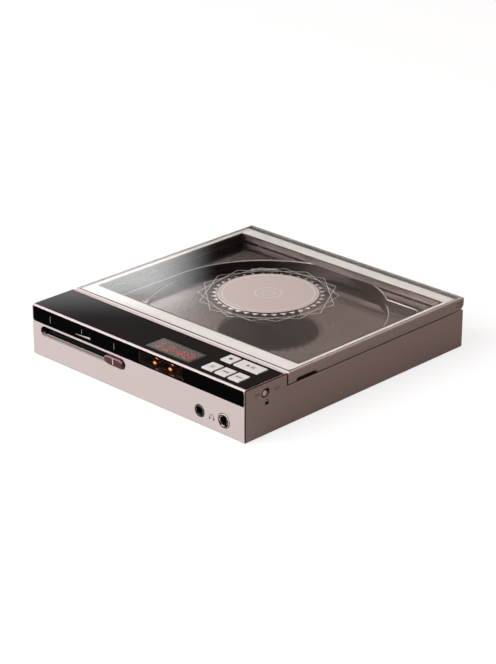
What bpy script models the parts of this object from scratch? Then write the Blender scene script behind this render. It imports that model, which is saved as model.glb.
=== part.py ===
"""Portable disc player with a hinged glass lid and a tall control block at the front.

All lengths are in metres, +Z up. Every sub-part is drawn in case coordinates: x from
the left side, y from the front face, z from the underside of the case. place() then
moves it so that the whole object stands on z = 0, centred on the origin, and puts each
object's own origin where it turns or slides. The pickup mechanism is drawn along
its own u, v axes and hangs on an empty that is turned to the rear left.
"""

import math

import bmesh
import bpy
from mathutils import Vector

# Overall case
CASE_WIDTH = 0.150
CASE_DEPTH = 0.158
CASE_HEIGHT = 0.027
BLOCK_DEPTH = 0.0283
DECK_DROP = 0.0067
SIDE_WALL = 0.0018
FRONT_WALL = 0.0024
BLOCK_WALL = 0.0016
CEILING = 0.0012
CASE_CHAMFER = 0.0004

# Clearances shared by everything
FIT = 0.0003
OVERRUN = 0.001
HAIR = 0.0002

# Ledge under the disc tray
LEDGE_WIDTH = 0.002
LEDGE_HEIGHT = 0.002
TRAY_PLATE = 0.0015

# Screw posts, cover and feet
COVER_THICKNESS = 0.0015
POST_SIZE = 0.006
FRONT_POST_BACK = 0.0108
POST_DEPTH = 0.0065
SCREW_SHANK_R = 0.0009
SCREW_HEAD_R = 0.0018
SCREW_HEAD_HEIGHT = 0.0007
SCREW_LENGTH = 0.006
FOOT_R = 0.005
FOOT_PROUD = 0.0005
FOOT_SEAT = 0.0006
FOOT_INSET = 0.014
STANDOFF_R = 0.002
BOARD_LIFT = 0.0008

# Top panel, display and keys
PANEL_THICKNESS = 0.0012
PANEL_RIM_FRONT = 0.00175
PANEL_RIM_REAR = 0.00155
PANEL_RIM_SIDE = 0.0011
DISPLAY_FROM_RIGHT = 0.0715
DISPLAY_WIDTH = 0.0303
DISPLAY_FRONT = 0.0042
DISPLAY_DEPTH = 0.0126
DISPLAY_SINK = 0.0001
KEYS_FROM_RIGHT = 0.0334
KEY_PITCH = 0.00865
KEY_SMALL_WIDTH = 0.0074
REAR_ROW_BACK = 0.0113
REAR_ROW_DEPTH = 0.0075
FRONT_ROW_Y = 0.0045
ROW_GAP = 0.0044
KEY_CORNER_R = 0.0005
KEY_PROUD = 0.0004
KEY_TRAVEL = 0.0004
KEY_FLANGE = 0.0008
KEY_OVERHANG = 0.001
SWITCH_R = 0.0016
SWITCH_HEIGHT = 0.0015
KEY_BOARD_THICKNESS = 0.001
KEY_BOARD_MARGIN = 0.0026
KEY_BOSS_R = 0.0008

# Front strip with its window and the two valves behind it
STRIP_TOP_DROP = 0.0010
STRIP_HEIGHT = 0.0076
STRIP_THICKNESS = 0.0006
STRIP_SIDE = 0.0011
STRIP_CORNER_R = 0.001
WINDOW_WIDTH = 0.0305
WINDOW_HEIGHT = 0.0056
WINDOW_CORNER_R = 0.0006
WINDOW_LEDGE = 0.0008
VALVE_FROM_WINDOW = 0.0109
VALVE_PITCH = 0.0106
VALVE_WIDTH = 0.0066
VALVE_HEIGHT = 0.0038
VALVE_FRONT = 0.004
VALVE_BACK_GAP = 0.0013
VALVE_GLASS = 0.0005
VALVE_NOSE = 0.0015
VALVE_ROOT = 0.0035
ELECTRODE_WIDTH = 0.0036
ELECTRODE_HEIGHT = 0.0018
ELECTRODE_FRONT_GAP = 0.003
ELECTRODE_TAIL = 0.0008
HOLDER_WALL = 0.0011
HOLDER_BACK = 0.0016

# Volume slide
SLOT_LEFT = 0.0065
SLOT_WIDTH = 0.0624
SLOT_HEIGHT = 0.0058
SLOT_DROP = 0.0128
FADER_DEPTH = 0.0068
FADER_MARGIN = 0.0013
FADER_CHANNEL = 0.002
KNOB_LENGTH = 0.013
KNOB_HEIGHT = 0.0042
KNOB_TIP_HEIGHT = 0.0026
KNOB_TAPER = 0.0022
KNOB_PROUD = 0.001
KNOB_INSET = 0.0014
KNOB_END_GAP = 0.0015
VOLUME_TRAVEL = 0.047
STEM_WIDTH = 0.003
STEM_HEIGHT = 0.001
STEM_LENGTH = 0.0061

# Jacks
JACK_RISE = 0.0072
SMALL_JACK_FROM_RIGHT = 0.030
LARGE_JACK_FROM_RIGHT = 0.014
SMALL_JACK_BORE_R = 0.0018
LARGE_JACK_BORE_R = 0.0023
SMALL_JACK_BODY = 0.008
LARGE_JACK_BODY = 0.010
JACK_LENGTH = 0.0133
JACK_END_WALL = 0.001
SMALL_RING_R = 0.0030
LARGE_RING_R = 0.0036
RING_PROUD = 0.0002
RING_BORE_EXTRA = 0.00012

# Lock switch on the right side
LOCK_Y = 0.0139
LOCK_DROP = 0.0054
LOCK_LENGTH = 0.0060
LOCK_HEIGHT = 0.0044
LOCK_KNOB_R = 0.0019
LOCK_TRAVEL = 0.0016
LOCK_SINK = 0.0002
LOCK_FLANGE = 0.0014
LOCK_FLANGE_R = 0.0026
LOCK_BODY_DEPTH = 0.0042
LOCK_BODY_LENGTH = 0.010
LOCK_BODY_HEIGHT = 0.0035

# Disc well
WELL_SIDE_MARGIN = 0.0132
WELL_FRONT_MARGIN = 0.0019
WELL_BACK_MARGIN = 0.0042
WELL_WALL = 0.0012
WELL_DEPTH = 0.0046
POCKET_DEPTH = 0.0033
POCKET_FRONT_MARGIN = 0.014
POCKET_CORNER_R = 0.004
HUB_HOLE_R = 0.017
LASER_SLOT_START = 0.019
LASER_SLOT_MARGIN = 0.0013
LASER_SLOT_WIDTH = 0.014

# Turntable and its motor
PLATTER_R = 0.0155
PLATTER_THICKNESS = 0.0017
PLATTER_DROP = 0.0007
HUB_BOSS_R = 0.0074
HUB_BOSS_HEIGHT = 0.0030
HUB_BOSS_CHAMFER = 0.0012
HUB_SLEEVE_R = 0.003
HUB_SLEEVE_LENGTH = 0.0007
MAT_INNER_R = 0.0098
MAT_OUTER_R = 0.0150
MAT_THICKNESS = 0.0004
SHAFT_R = 0.0012
SHAFT_GRIP = 0.0025
MOTOR_R = 0.011
MOTOR_FLOOR_GAP = 0.002

# Pickup mechanism, drawn along its own u axis (outwards) and v axis
MECH_TURN = math.radians(135)
CHASSIS_THICKNESS = 0.001
CHASSIS_BELOW_WELL = 0.0011
CHASSIS_BACK = 0.022
CHASSIS_BEYOND_WELL = 0.0082
CHASSIS_EDGE = 0.0007
CHASSIS_WINDOW_START = 0.016
CHASSIS_BAR = 0.004
SPINDLE_HOLE_R = 0.004
EAR_INSIDE_WELL = 0.0178
EAR_LENGTH = 0.008
EAR_REACH = 0.026
TAB_FIRST_U = 0.0122
TAB_EDGE = 0.0025
TAB_THICKNESS = 0.0014
TAB_TAIL = 0.0003
ROD_EDGE = 0.0005
ROD_R_SHARE = 0.1875
SCREW_EDGE = 0.0007
LEAD_SCREW_R_SHARE = 0.171875
SLED_MOTOR_LENGTH = 0.009
DAMPER_R = 0.0032
DAMPER_HEIGHT = 0.0031
DAMPER_EAR_V = 0.0225
DAMPER_BACK_U = 0.018
DAMPER_BACK_V = 0.012
DAMPER_BOSS_R = 0.0024
SLED_REST_U = 0.024
SLED_BACK = 0.0095
SLED_FRONT = 0.0105
SLED_HALF_WIDTH = 0.0145
SLED_FLOOR_GAP_SHARE = 2 / 8.8
SLED_TOP_DROP = 0.0004
SLED_TOWER_HALF = 0.0055
SLED_TOWER_RISE = 0.0021
SLED_ARM_LENGTH = 0.008
SLED_ARM_WALL = 0.0004
SLED_ARM_CHEEK = 0.0008
LENS_R = 0.0024
LENS_HEIGHT = 0.0009

# Boards, battery and charging socket
BOARD_THICKNESS = 0.001
BOARD_SIDE = 0.012
BOARD_FROM_BLOCK = 0.0057
BOARD_BACK = 0.005
CHIP_HEIGHT = 0.0012
CHIP_SIZE = 0.009
CHIP_SPACING = 0.014
CHIP_FIRST_X = 0.024
CHIP_Y = 0.050
CHIP_COUNT = 4
BATTERY_FROM_CENTRE = 0.030
BATTERY_FROM_RIGHT = 0.009
BATTERY_FROM_BLOCK = 0.0137
BATTERY_BEYOND_CENTRE = 0.012
BATTERY_TOP_GAP = 0.0004
BATTERY_CORNER_R = 0.003
USB_FROM_CENTRE = 0.0045
USB_WIDTH = 0.009
USB_HEIGHT = 0.0032
USB_LENGTH = 0.0097
USB_WALL = 0.0004
USB_SINK = 0.0003

# Lid
LID_FRONT_GAP = 0.0008
LID_LIFT = 0.0005
LID_CORNER_R = 0.0032
LID_GLASS_THICKNESS = 0.0012
LID_RECESS_SIDE = 0.0010
LID_RECESS_FRONT = 0.0012
LID_RECESS_BACK = 0.0007
LIP_THICKNESS = 0.0013
LIP_SIDE = 0.0042
LIP_FRONT = 0.0118
LIP_BACK = 0.0115
LID_WALL_SIDE = 0.0030
LID_WALL_FRONT = 0.0102
LID_WALL_BACK = 0.0096
NOTCH_FRONT = 0.0057
NOTCH_LENGTH = 0.0152
NOTCH_HEIGHT = 0.0016
NOTCH_SLOPE = 0.0012
NOTCH_REACH = 0.0042
BADGE_R = 0.026
BADGE_THICKNESS = 0.0004
HINGE_X = 0.020
KNUCKLE_LENGTH = 0.010
KNUCKLE_R = 0.0015
HINGE_PIN_R = 0.0007
HINGE_PIN_OVERHANG = 0.0035
HINGE_SLOT_FRONT = 0.0038
BRACKET_BASE_FRONT = 0.0058
BRACKET_NECK_FRONT = 0.0016
BRACKET_NECK_BACK = 0.0011
MAGNET_R = 0.003
MAGNET_THICKNESS = 0.002
MAGNET_FROM_BLOCK = 0.0055
MAGNET_X = 0.020

# Number of flats on round pieces: small, medium and large
FEW = 16
SOME = 32
MANY = 72
SMOOTH_ANGLE = math.radians(35)

# Levels and places that follow from the sizes above
CENTRE_X = CASE_WIDTH / 2
DECK_Z = CASE_HEIGHT - DECK_DROP
CEILING_Z = CASE_HEIGHT - PANEL_THICKNESS - FIT
CEILING_UNDER = CEILING_Z - CEILING
TRAY_SEAT = DECK_Z - TRAY_PLATE - FIT
LEDGE_UNDER = TRAY_SEAT - LEDGE_HEIGHT
POST_UNDER = COVER_THICKNESS + FIT
BLOCK_INSIDE_Y = BLOCK_DEPTH - BLOCK_WALL
TRAY_FRONT_Y = BLOCK_DEPTH + FIT
INSIDE_LEFT = SIDE_WALL
INSIDE_RIGHT = CASE_WIDTH - SIDE_WALL
INSIDE_BACK = CASE_DEPTH - SIDE_WALL
LEDGE_LEFT = INSIDE_LEFT + LEDGE_WIDTH
LEDGE_RIGHT = INSIDE_RIGHT - LEDGE_WIDTH
LEDGE_FRONT = BLOCK_DEPTH + LEDGE_WIDTH
LEDGE_BACK = INSIDE_BACK - LEDGE_WIDTH
WELL_FLOOR = DECK_Z - WELL_DEPTH
WELL_UNDER = WELL_FLOOR - WELL_WALL
POCKET_FLOOR = DECK_Z - POCKET_DEPTH
SLOT_Z = CASE_HEIGHT - SLOT_DROP
JACK_Z = JACK_RISE
LOCK_Z = CASE_HEIGHT - LOCK_DROP
STRIP_TOP = CASE_HEIGHT - STRIP_TOP_DROP
STRIP_BOTTOM = STRIP_TOP - STRIP_HEIGHT
STRIP_Z = (STRIP_TOP + STRIP_BOTTOM) / 2
CHASSIS_UNDER = WELL_UNDER - CHASSIS_BELOW_WELL - CHASSIS_THICKNESS
CHASSIS_TOP = CHASSIS_UNDER + CHASSIS_THICKNESS
BOARD_Z = COVER_THICKNESS + BOARD_LIFT + FIT
BOARD_TOP = BOARD_Z + BOARD_THICKNESS
FRONT_POST_Y = BLOCK_DEPTH - FRONT_POST_BACK
REAR_ROW_Y = BLOCK_DEPTH - REAR_ROW_BACK
FRONT_ROW_DEPTH = REAR_ROW_Y - ROW_GAP - FRONT_ROW_Y
VALVE_LENGTH = BLOCK_INSIDE_Y - VALVE_BACK_GAP - HOLDER_BACK - FIT - VALVE_FRONT
DISPLAY_LEFT = CASE_WIDTH - DISPLAY_FROM_RIGHT
WINDOW_LEFT = DISPLAY_LEFT
VALVE_FIRST_X = WINDOW_LEFT + VALVE_FROM_WINDOW
KEYS_LEFT = CASE_WIDTH - KEYS_FROM_RIGHT
SMALL_JACK_X = CASE_WIDTH - SMALL_JACK_FROM_RIGHT
LARGE_JACK_X = CASE_WIDTH - LARGE_JACK_FROM_RIGHT
WELL_ROOM_X = CASE_WIDTH / 2 - WELL_SIDE_MARGIN
WELL_ROOM_Y = (CASE_DEPTH - BLOCK_DEPTH - WELL_FRONT_MARGIN - WELL_BACK_MARGIN) / 2
WELL_R = min(WELL_ROOM_X, WELL_ROOM_Y)
WELL_Y = BLOCK_DEPTH + WELL_FRONT_MARGIN + WELL_R
POCKET_REACH_X = WELL_R
POCKET_REACH_Y = WELL_R - POCKET_FRONT_MARGIN
LASER_SLOT_END = WELL_R - LASER_SLOT_MARGIN
CHASSIS_FRONT = WELL_R + CHASSIS_BEYOND_WELL
CHASSIS_WINDOW_END = CHASSIS_FRONT - CHASSIS_BAR
EAR_U = WELL_R - EAR_INSIDE_WELL
TAB_LAST_U = CHASSIS_FRONT - TAB_EDGE
MECH_ROOM = CHASSIS_UNDER - BOARD_TOP
MOTOR_HEIGHT = MECH_ROOM - MOTOR_FLOOR_GAP - FIT
SLED_HEIGHT = MECH_ROOM * (1 - SLED_FLOOR_GAP_SHARE) - SLED_TOP_DROP
ROD_R = SLED_HEIGHT * ROD_R_SHARE
ROD_DROP = SLED_TOP_DROP + SLED_HEIGHT / 2
ROD_Z = CHASSIS_UNDER - ROD_DROP
LEAD_SCREW_R = SLED_HEIGHT * LEAD_SCREW_R_SHARE
SLED_MOTOR_R = ROD_DROP - FIT
SLED_ARM_EDGE = LEAD_SCREW_R + FIT + SLED_ARM_WALL
TAB_DROP = ROD_DROP + ROD_R + FIT + TAB_TAIL
ROD_V = SLED_HALF_WIDTH - ROD_R - FIT - ROD_EDGE
SCREW_V = SLED_HALF_WIDTH + LEAD_SCREW_R + FIT + SCREW_EDGE
CHASSIS_HALF_WIDTH = SCREW_V + LEAD_SCREW_R + FIT + CHASSIS_EDGE
BOARD_FRONT_Y = BLOCK_DEPTH + BOARD_FROM_BLOCK
BATTERY_X = (CENTRE_X + BATTERY_FROM_CENTRE, CASE_WIDTH - BATTERY_FROM_RIGHT)
BATTERY_Y = (BLOCK_DEPTH + BATTERY_FROM_BLOCK, WELL_Y + BATTERY_BEYOND_CENTRE)
BATTERY_HEIGHT = MECH_ROOM - FIT - BATTERY_TOP_GAP
USB_X = CENTRE_X - USB_FROM_CENTRE
LIP_FRONT_Y = BLOCK_DEPTH + LIP_FRONT
LIP_BACK_Y = CASE_DEPTH - LIP_BACK
LID_WALL_FRONT_Y = BLOCK_DEPTH + LID_WALL_FRONT
LID_WALL_BACK_Y = CASE_DEPTH - LID_WALL_BACK
NOTCH_FRONT_Y = BLOCK_DEPTH + NOTCH_FRONT
NOTCH_BACK_Y = NOTCH_FRONT_Y + NOTCH_LENGTH
BADGE_Y = (LIP_FRONT_Y + LIP_BACK_Y) / 2
MAGNET_Y = BLOCK_DEPTH + MAGNET_FROM_BLOCK
DAMPER_SEAT = CHASSIS_UNDER - DAMPER_HEIGHT - HAIR - HAIR
LID_UNDER = DECK_Z + LID_LIFT
LID_FRONT_Y = BLOCK_DEPTH + LID_FRONT_GAP
HINGE_Y = CASE_DEPTH - LID_CORNER_R
HINGE_Z = LID_UNDER + LID_CORNER_R
LIP_TOP = CASE_HEIGHT - LID_GLASS_THICKNESS - FIT
KEY_FLANGE_TOP = CEILING_UNDER - FIT
KEY_FLANGE_UNDER = KEY_FLANGE_TOP - KEY_FLANGE
KEY_BOARD_TOP = KEY_FLANGE_UNDER - KEY_TRAVEL - HAIR - SWITCH_HEIGHT
DAMPER_PLACES = (
    (EAR_U, DAMPER_EAR_V),
    (EAR_U, -DAMPER_EAR_V),
    (-DAMPER_BACK_U, DAMPER_BACK_V),
    (-DAMPER_BACK_U, -DAMPER_BACK_V),
)
CASE_TO_WORLD = Vector((-CENTRE_X, -(CASE_DEPTH - KNOB_PROUD) / 2, FOOT_PROUD))

# Colour, roughness and metallic value of each material
MATERIALS = {
    "anodised_case": ((0.56, 0.47, 0.44), 0.35, 1.0),
    "black_gloss": ((0.012, 0.012, 0.014), 0.08, 0.0),
    "dark_glass": ((0.03, 0.025, 0.022), 0.05, 0.0),
    "display_face": ((0.06, 0.06, 0.065), 0.2, 0.0),
    "silver_keys": ((0.62, 0.61, 0.60), 0.4, 0.3),
    "knob_maroon": ((0.23, 0.10, 0.09), 0.4, 0.6),
    "black_plastic": ((0.02, 0.02, 0.02), 0.5, 0.0),
    "grey_plastic": ((0.18, 0.17, 0.16), 0.5, 0.0),
    "deck_metal": ((0.42, 0.39, 0.37), 0.25, 0.8),
    "bright_metal": ((0.75, 0.74, 0.72), 0.25, 1.0),
    "dark_metal": ((0.16, 0.15, 0.14), 0.35, 1.0),
    "badge_metal": ((0.62, 0.53, 0.49), 0.3, 1.0),
    "clear_glass": ((0.85, 0.85, 0.84), 0.03, 0.0),
    "valve_glow": ((0.85, 0.30, 0.08), 0.3, 0.0),
    "rubber": ((0.03, 0.03, 0.03), 0.8, 0.0),
    "board_green": ((0.02, 0.11, 0.05), 0.5, 0.0),
    "battery_wrap": ((0.10, 0.12, 0.18), 0.5, 0.0),
}


def span(middle, size):
    """Range of the given size about its middle."""
    return middle - size / 2, middle + size / 2


def grown(limits, extra):
    """Range made longer by extra at both ends."""
    return limits[0] - extra, limits[1] + extra


def mirrored(limits):
    """Range on the other side of the case's middle plane."""
    return CASE_WIDTH - limits[1], CASE_WIDTH - limits[0]


def key_column(first, last):
    """X range from one key column to another."""
    left = KEYS_LEFT + first * KEY_PITCH
    right = KEYS_LEFT + last * KEY_PITCH + KEY_SMALL_WIDTH
    return left, right


def mech_point(u, v):
    """Case x and y of a point on the turned pickup mechanism."""
    x = CENTRE_X + u * math.cos(MECH_TURN) - v * math.sin(MECH_TURN)
    y = WELL_Y + u * math.sin(MECH_TURN) + v * math.cos(MECH_TURN)
    return x, y


def circle(centre, radius, flats=SOME):
    """Outline of a circle."""
    turns = (2 * math.pi * (i + 0.5) / flats for i in range(flats))
    return [
        (centre[0] + radius * math.cos(turn), centre[1] + radius * math.sin(turn))
        for turn in turns
    ]


def rounded(across, along, radius, flats=4):
    """Outline of a rectangle with round corners; a radius of half its width makes a slot."""
    corners = (
        (across[1] - radius, along[1] - radius, 0),
        (across[0] + radius, along[1] - radius, 1),
        (across[0] + radius, along[0] + radius, 2),
        (across[1] - radius, along[0] + radius, 3),
    )
    points = []
    for a, b, quarter in corners:
        for i in range(flats + 1):
            turn = math.pi / 2 * (quarter + i / flats)
            points.append((a + radius * math.cos(turn), b + radius * math.sin(turn)))
    return without_repeats(points)


def without_repeats(points):
    """Outline with each point that equals the one before it left out."""
    kept = []
    for i, point in enumerate(points):
        if math.dist(point, points[i - 1]) > HAIR / 100:
            kept.append(point)
    return kept


def prism(outline, limits, axis="Z"):
    """Closed solid of a flat outline, drawn along the axis between two limits."""
    spots = {
        "X": lambda a, b, t: (t, a, b),
        "Y": lambda a, b, t: (a, t, b),
        "Z": lambda a, b, t: (a, b, t),
    }
    spot = spots[axis]
    shape = bmesh.new()
    start = [shape.verts.new(spot(a, b, limits[0])) for a, b in outline]
    end = [shape.verts.new(spot(a, b, limits[1])) for a, b in outline]
    shape.faces.new(start)
    shape.faces.new(end)
    for i, corner in enumerate(start):
        shape.faces.new((start[i - 1], corner, end[i], end[i - 1]))
    bmesh.ops.recalc_face_normals(shape, faces=shape.faces)
    mesh = bpy.data.meshes.new("outline")
    shape.to_mesh(mesh)
    shape.free()
    solid = bpy.data.objects.new("solid", mesh)
    bpy.context.scene.collection.objects.link(solid)
    return solid


def box(across, along, up):
    """Block between three ranges."""
    corners = [
        (across[0], along[0]),
        (across[1], along[0]),
        (across[1], along[1]),
        (across[0], along[1]),
    ]
    return prism(corners, up)


def disc(centre, radius, limits, axis="Z", flats=SOME):
    """Round bar along the axis."""
    return prism(circle(centre, radius, flats), limits, axis)


def combine(base, operation, others):
    """Boolean of the base with each of the other solids, which are used up."""
    for other in others:
        step = base.modifiers.new(operation.title(), "BOOLEAN")
        step.operation = operation
        step.solver = "EXACT"
        step.object = other
        other.hide_render = True
        other.display_type = "WIRE"
    graph = bpy.context.evaluated_depsgraph_get()
    result = bpy.data.meshes.new_from_object(base.evaluated_get(graph))
    base.modifiers.clear()
    base.data = result
    for other in others:
        bpy.data.objects.remove(other)
    return base


def cut(base, *others):
    """The base without the other solids."""
    return combine(base, "DIFFERENCE", others)


def join(base, *others):
    """The base and the other solids as one."""
    return combine(base, "UNION", others)


def chamfer(solid, width, chosen):
    """Cuts off the outward edges whose middle the chosen test accepts."""
    shape = bmesh.new()
    shape.from_mesh(solid.data)
    edges = []
    for edge in shape.edges:
        middle = (edge.verts[0].co + edge.verts[1].co) / 2
        if edge.is_convex and chosen(middle):
            edges.append(edge)
    bmesh.ops.bevel(shape, geom=edges, offset=width, segments=1, affect="EDGES")
    shape.to_mesh(solid.data)
    shape.free()
    return solid


def material(name):
    """The named material, made when it is first asked for."""
    found = bpy.data.materials.get(name)
    if found:
        return found
    colour, roughness, metallic = MATERIALS[name]
    made = bpy.data.materials.new(name)
    made.use_nodes = True
    made.diffuse_color = (*colour, 1)
    shader = made.node_tree.nodes["Principled BSDF"]
    shader.inputs["Base Color"].default_value = (*colour, 1)
    shader.inputs["Roughness"].default_value = roughness
    shader.inputs["Metallic"].default_value = metallic
    return made


def place(solid, name, material_name, origin=(CENTRE_X, CASE_DEPTH / 2, 0), parent=None):
    """Names a finished sub-part, sets its origin, and moves it from the case to the world."""
    solid.name = name
    solid.data.name = name
    solid.data.materials.clear()
    solid.data.materials.append(material(material_name))
    solid.data.shade_smooth()
    solid.data.set_sharp_from_angle(angle=SMOOTH_ANGLE)
    for vertex in solid.data.vertices:
        vertex.co -= Vector(origin)
    solid.parent = parent
    solid.location = Vector(origin) if parent else Vector(origin) + CASE_TO_WORLD
    return solid


REAR_ROW = (REAR_ROW_Y, REAR_ROW_Y + REAR_ROW_DEPTH)
FRONT_ROW = (FRONT_ROW_Y, FRONT_ROW_Y + FRONT_ROW_DEPTH)
KEYS = {
    "key_stop": (key_column(0, 0), REAR_ROW),
    "key_play": (key_column(1, 2), REAR_ROW),
    "key_menu": (key_column(0, 0), FRONT_ROW),
    "key_previous": (key_column(1, 1), FRONT_ROW),
    "key_next": (key_column(2, 2), FRONT_ROW),
}
KEY_BOARD_X = (KEYS_LEFT - KEY_BOARD_MARGIN, key_column(2, 2)[1])
ROW_GAP_Y = (FRONT_ROW[1] + REAR_ROW[0]) / 2
KEY_BOSS_X = (KEY_BOARD_X[0] + KEY_BOARD_MARGIN, KEY_BOARD_X[1] - KEY_BOARD_MARGIN)
STRIP_X = (STRIP_SIDE, CASE_WIDTH - STRIP_SIDE)
STRIP_UP = (STRIP_BOTTOM, STRIP_TOP)
PANEL_X = (PANEL_RIM_SIDE, CASE_WIDTH - PANEL_RIM_SIDE)
PANEL_Y = (PANEL_RIM_FRONT, BLOCK_DEPTH - PANEL_RIM_REAR)
DISPLAY_X = (DISPLAY_LEFT, DISPLAY_LEFT + DISPLAY_WIDTH)
DISPLAY_Y = (DISPLAY_FRONT, DISPLAY_FRONT + DISPLAY_DEPTH)
WINDOW_X = (WINDOW_LEFT, WINDOW_LEFT + WINDOW_WIDTH)
WINDOW_UP = span(STRIP_Z, WINDOW_HEIGHT)
SLOT_X = (SLOT_LEFT, SLOT_LEFT + SLOT_WIDTH)
SLOT_UP = span(SLOT_Z, SLOT_HEIGHT)
USB_Z = BOARD_TOP + FIT + USB_HEIGHT / 2
INNER_FRONT = FRONT_WALL + FIT
SCREW_XS = (INSIDE_LEFT + POST_SIZE / 2, INSIDE_RIGHT - POST_SIZE / 2)
SCREW_YS = (FRONT_POST_Y + POST_SIZE / 2, INSIDE_BACK - POST_SIZE / 2)
SCREW_PLACES = [(x, y) for y in SCREW_YS for x in SCREW_XS]
FOOT_PLACES = [
    (x, y)
    for y in (FOOT_INSET, CASE_DEPTH - FOOT_INSET)
    for x in (FOOT_INSET, CASE_WIDTH - FOOT_INSET)
]
LEFT_KNUCKLE = span(HINGE_X, KNUCKLE_LENGTH)
BRACKET_BASE_Y = (HINGE_Y - BRACKET_BASE_FRONT, INSIDE_BACK - FIT)
HUB_BORE_TOP = WELL_FLOOR + SHAFT_GRIP
POCKET_QUARTERS = (
    ((CENTRE_X, CENTRE_X + POCKET_REACH_X), (WELL_Y, WELL_Y + POCKET_REACH_Y)),
    ((CENTRE_X - POCKET_REACH_X, CENTRE_X), (WELL_Y - POCKET_REACH_Y, WELL_Y)),
)


def make_case_body():
    """Outer shell: one extruded side outline, hollowed from below and behind."""
    side = [
        (0, 0),
        (CASE_DEPTH, 0),
        (CASE_DEPTH, DECK_Z),
        (BLOCK_DEPTH, DECK_Z),
        (BLOCK_DEPTH, CASE_HEIGHT),
        (0, CASE_HEIGHT),
    ]
    hollow = [
        (FRONT_WALL, -OVERRUN),
        (INSIDE_BACK, -OVERRUN),
        (INSIDE_BACK, LEDGE_UNDER),
        (BLOCK_INSIDE_Y, LEDGE_UNDER),
        (BLOCK_INSIDE_Y, CEILING_UNDER),
        (FRONT_WALL, CEILING_UNDER),
    ]
    case = chamfer(prism(side, (0, CASE_WIDTH), "X"), CASE_CHAMFER, lambda spot: True)
    inside_x = (INSIDE_LEFT, INSIDE_RIGHT)
    through_ledge = (LEDGE_UNDER - OVERRUN, TRAY_SEAT + OVERRUN)
    well_wall = WELL_R + WELL_WALL + FIT
    cut(
        case,
        prism(hollow, inside_x, "X"),
        box(inside_x, (TRAY_FRONT_Y, INSIDE_BACK), (TRAY_SEAT, DECK_Z + OVERRUN)),
        box((LEDGE_LEFT, LEDGE_RIGHT), (LEDGE_FRONT, LEDGE_BACK), through_ledge),
        disc((CENTRE_X, WELL_Y), well_wall, through_ledge, flats=MANY),
    )
    add_posts_and_pads(case)
    cut_block_openings(case)
    cut_wall_openings(case)
    return place(case, "case_body", "anodised_case")


def add_posts_and_pads(case):
    """Screw posts in the corners, hinge pads on the rear ledge, bosses over the key board."""
    added = []
    bores = []
    for x, y in SCREW_PLACES:
        outwards = math.copysign(OVERRUN / 2, x - CENTRE_X)
        backwards = OVERRUN / 2 if y > CASE_DEPTH / 2 else 0
        across = span(x + outwards, POST_SIZE + OVERRUN)
        along = span(y + backwards, POST_SIZE + 2 * backwards)
        added.append(box(across, along, (POST_UNDER, LEDGE_UNDER + OVERRUN)))
        depth = (POST_UNDER - OVERRUN, POST_UNDER + POST_DEPTH)
        bores.append(disc((x, y), SCREW_SHANK_R + FIT, depth, flats=FEW))
    for knuckle in (LEFT_KNUCKLE, mirrored(LEFT_KNUCKLE)):
        pad_y = (BRACKET_BASE_Y[0], INSIDE_BACK + OVERRUN)
        added.append(box(grown(knuckle, OVERRUN), pad_y, (LEDGE_UNDER, TRAY_SEAT)))
    for x in KEY_BOSS_X:
        boss_up = (KEY_BOARD_TOP + FIT, CEILING_UNDER + CEILING / 2)
        added.append(disc((x, ROW_GAP_Y), KEY_BOSS_R, boss_up, flats=FEW))
    join(case, *added)
    cut(case, *bores)


def cut_block_openings(case):
    """Recesses for the top panel and front strip, and the openings for the keys."""
    panel_up = (CEILING_Z, CASE_HEIGHT + OVERRUN)
    recess_strip = rounded(grown(STRIP_X, FIT), grown(STRIP_UP, FIT), STRIP_CORNER_R + FIT)
    view = (grown(WINDOW_X, -WINDOW_LEDGE), grown(WINDOW_UP, -WINDOW_LEDGE))
    cut(
        case,
        box(grown(PANEL_X, FIT), grown(PANEL_Y, FIT), panel_up),
        prism(recess_strip, (-OVERRUN, STRIP_THICKNESS + FIT), "Y"),
        box(view[0], (0, FRONT_WALL + OVERRUN), view[1]),
    )
    through = (CEILING_UNDER - OVERRUN, CEILING_Z + OVERRUN)
    cut(case, *[box(grown(x, FIT), grown(y, FIT), through) for x, y in KEYS.values()])


def cut_wall_openings(case):
    """Volume slot, jack holes, lock slot and the hole for the charging socket."""
    front = (-OVERRUN, FRONT_WALL + OVERRUN)
    right = (INSIDE_RIGHT - OVERRUN, CASE_WIDTH + OVERRUN)
    back = (INSIDE_BACK - OVERRUN, CASE_DEPTH + OVERRUN)
    lock = (span(LOCK_Y, LOCK_LENGTH), span(LOCK_Z, LOCK_HEIGHT))
    socket = (span(USB_X, USB_WIDTH + 2 * FIT), span(USB_Z, USB_HEIGHT + 2 * FIT))
    cut(
        case,
        prism(rounded(SLOT_X, SLOT_UP, SLOT_HEIGHT / 2), front, "Y"),
        disc((SMALL_JACK_X, JACK_Z), SMALL_RING_R + FIT, front, "Y"),
        disc((LARGE_JACK_X, JACK_Z), LARGE_RING_R + FIT, front, "Y"),
        prism(rounded(*lock, LOCK_HEIGHT / 2), right, "X"),
        prism(rounded(*socket, USB_HEIGHT / 2), back, "Y"),
    )


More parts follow.
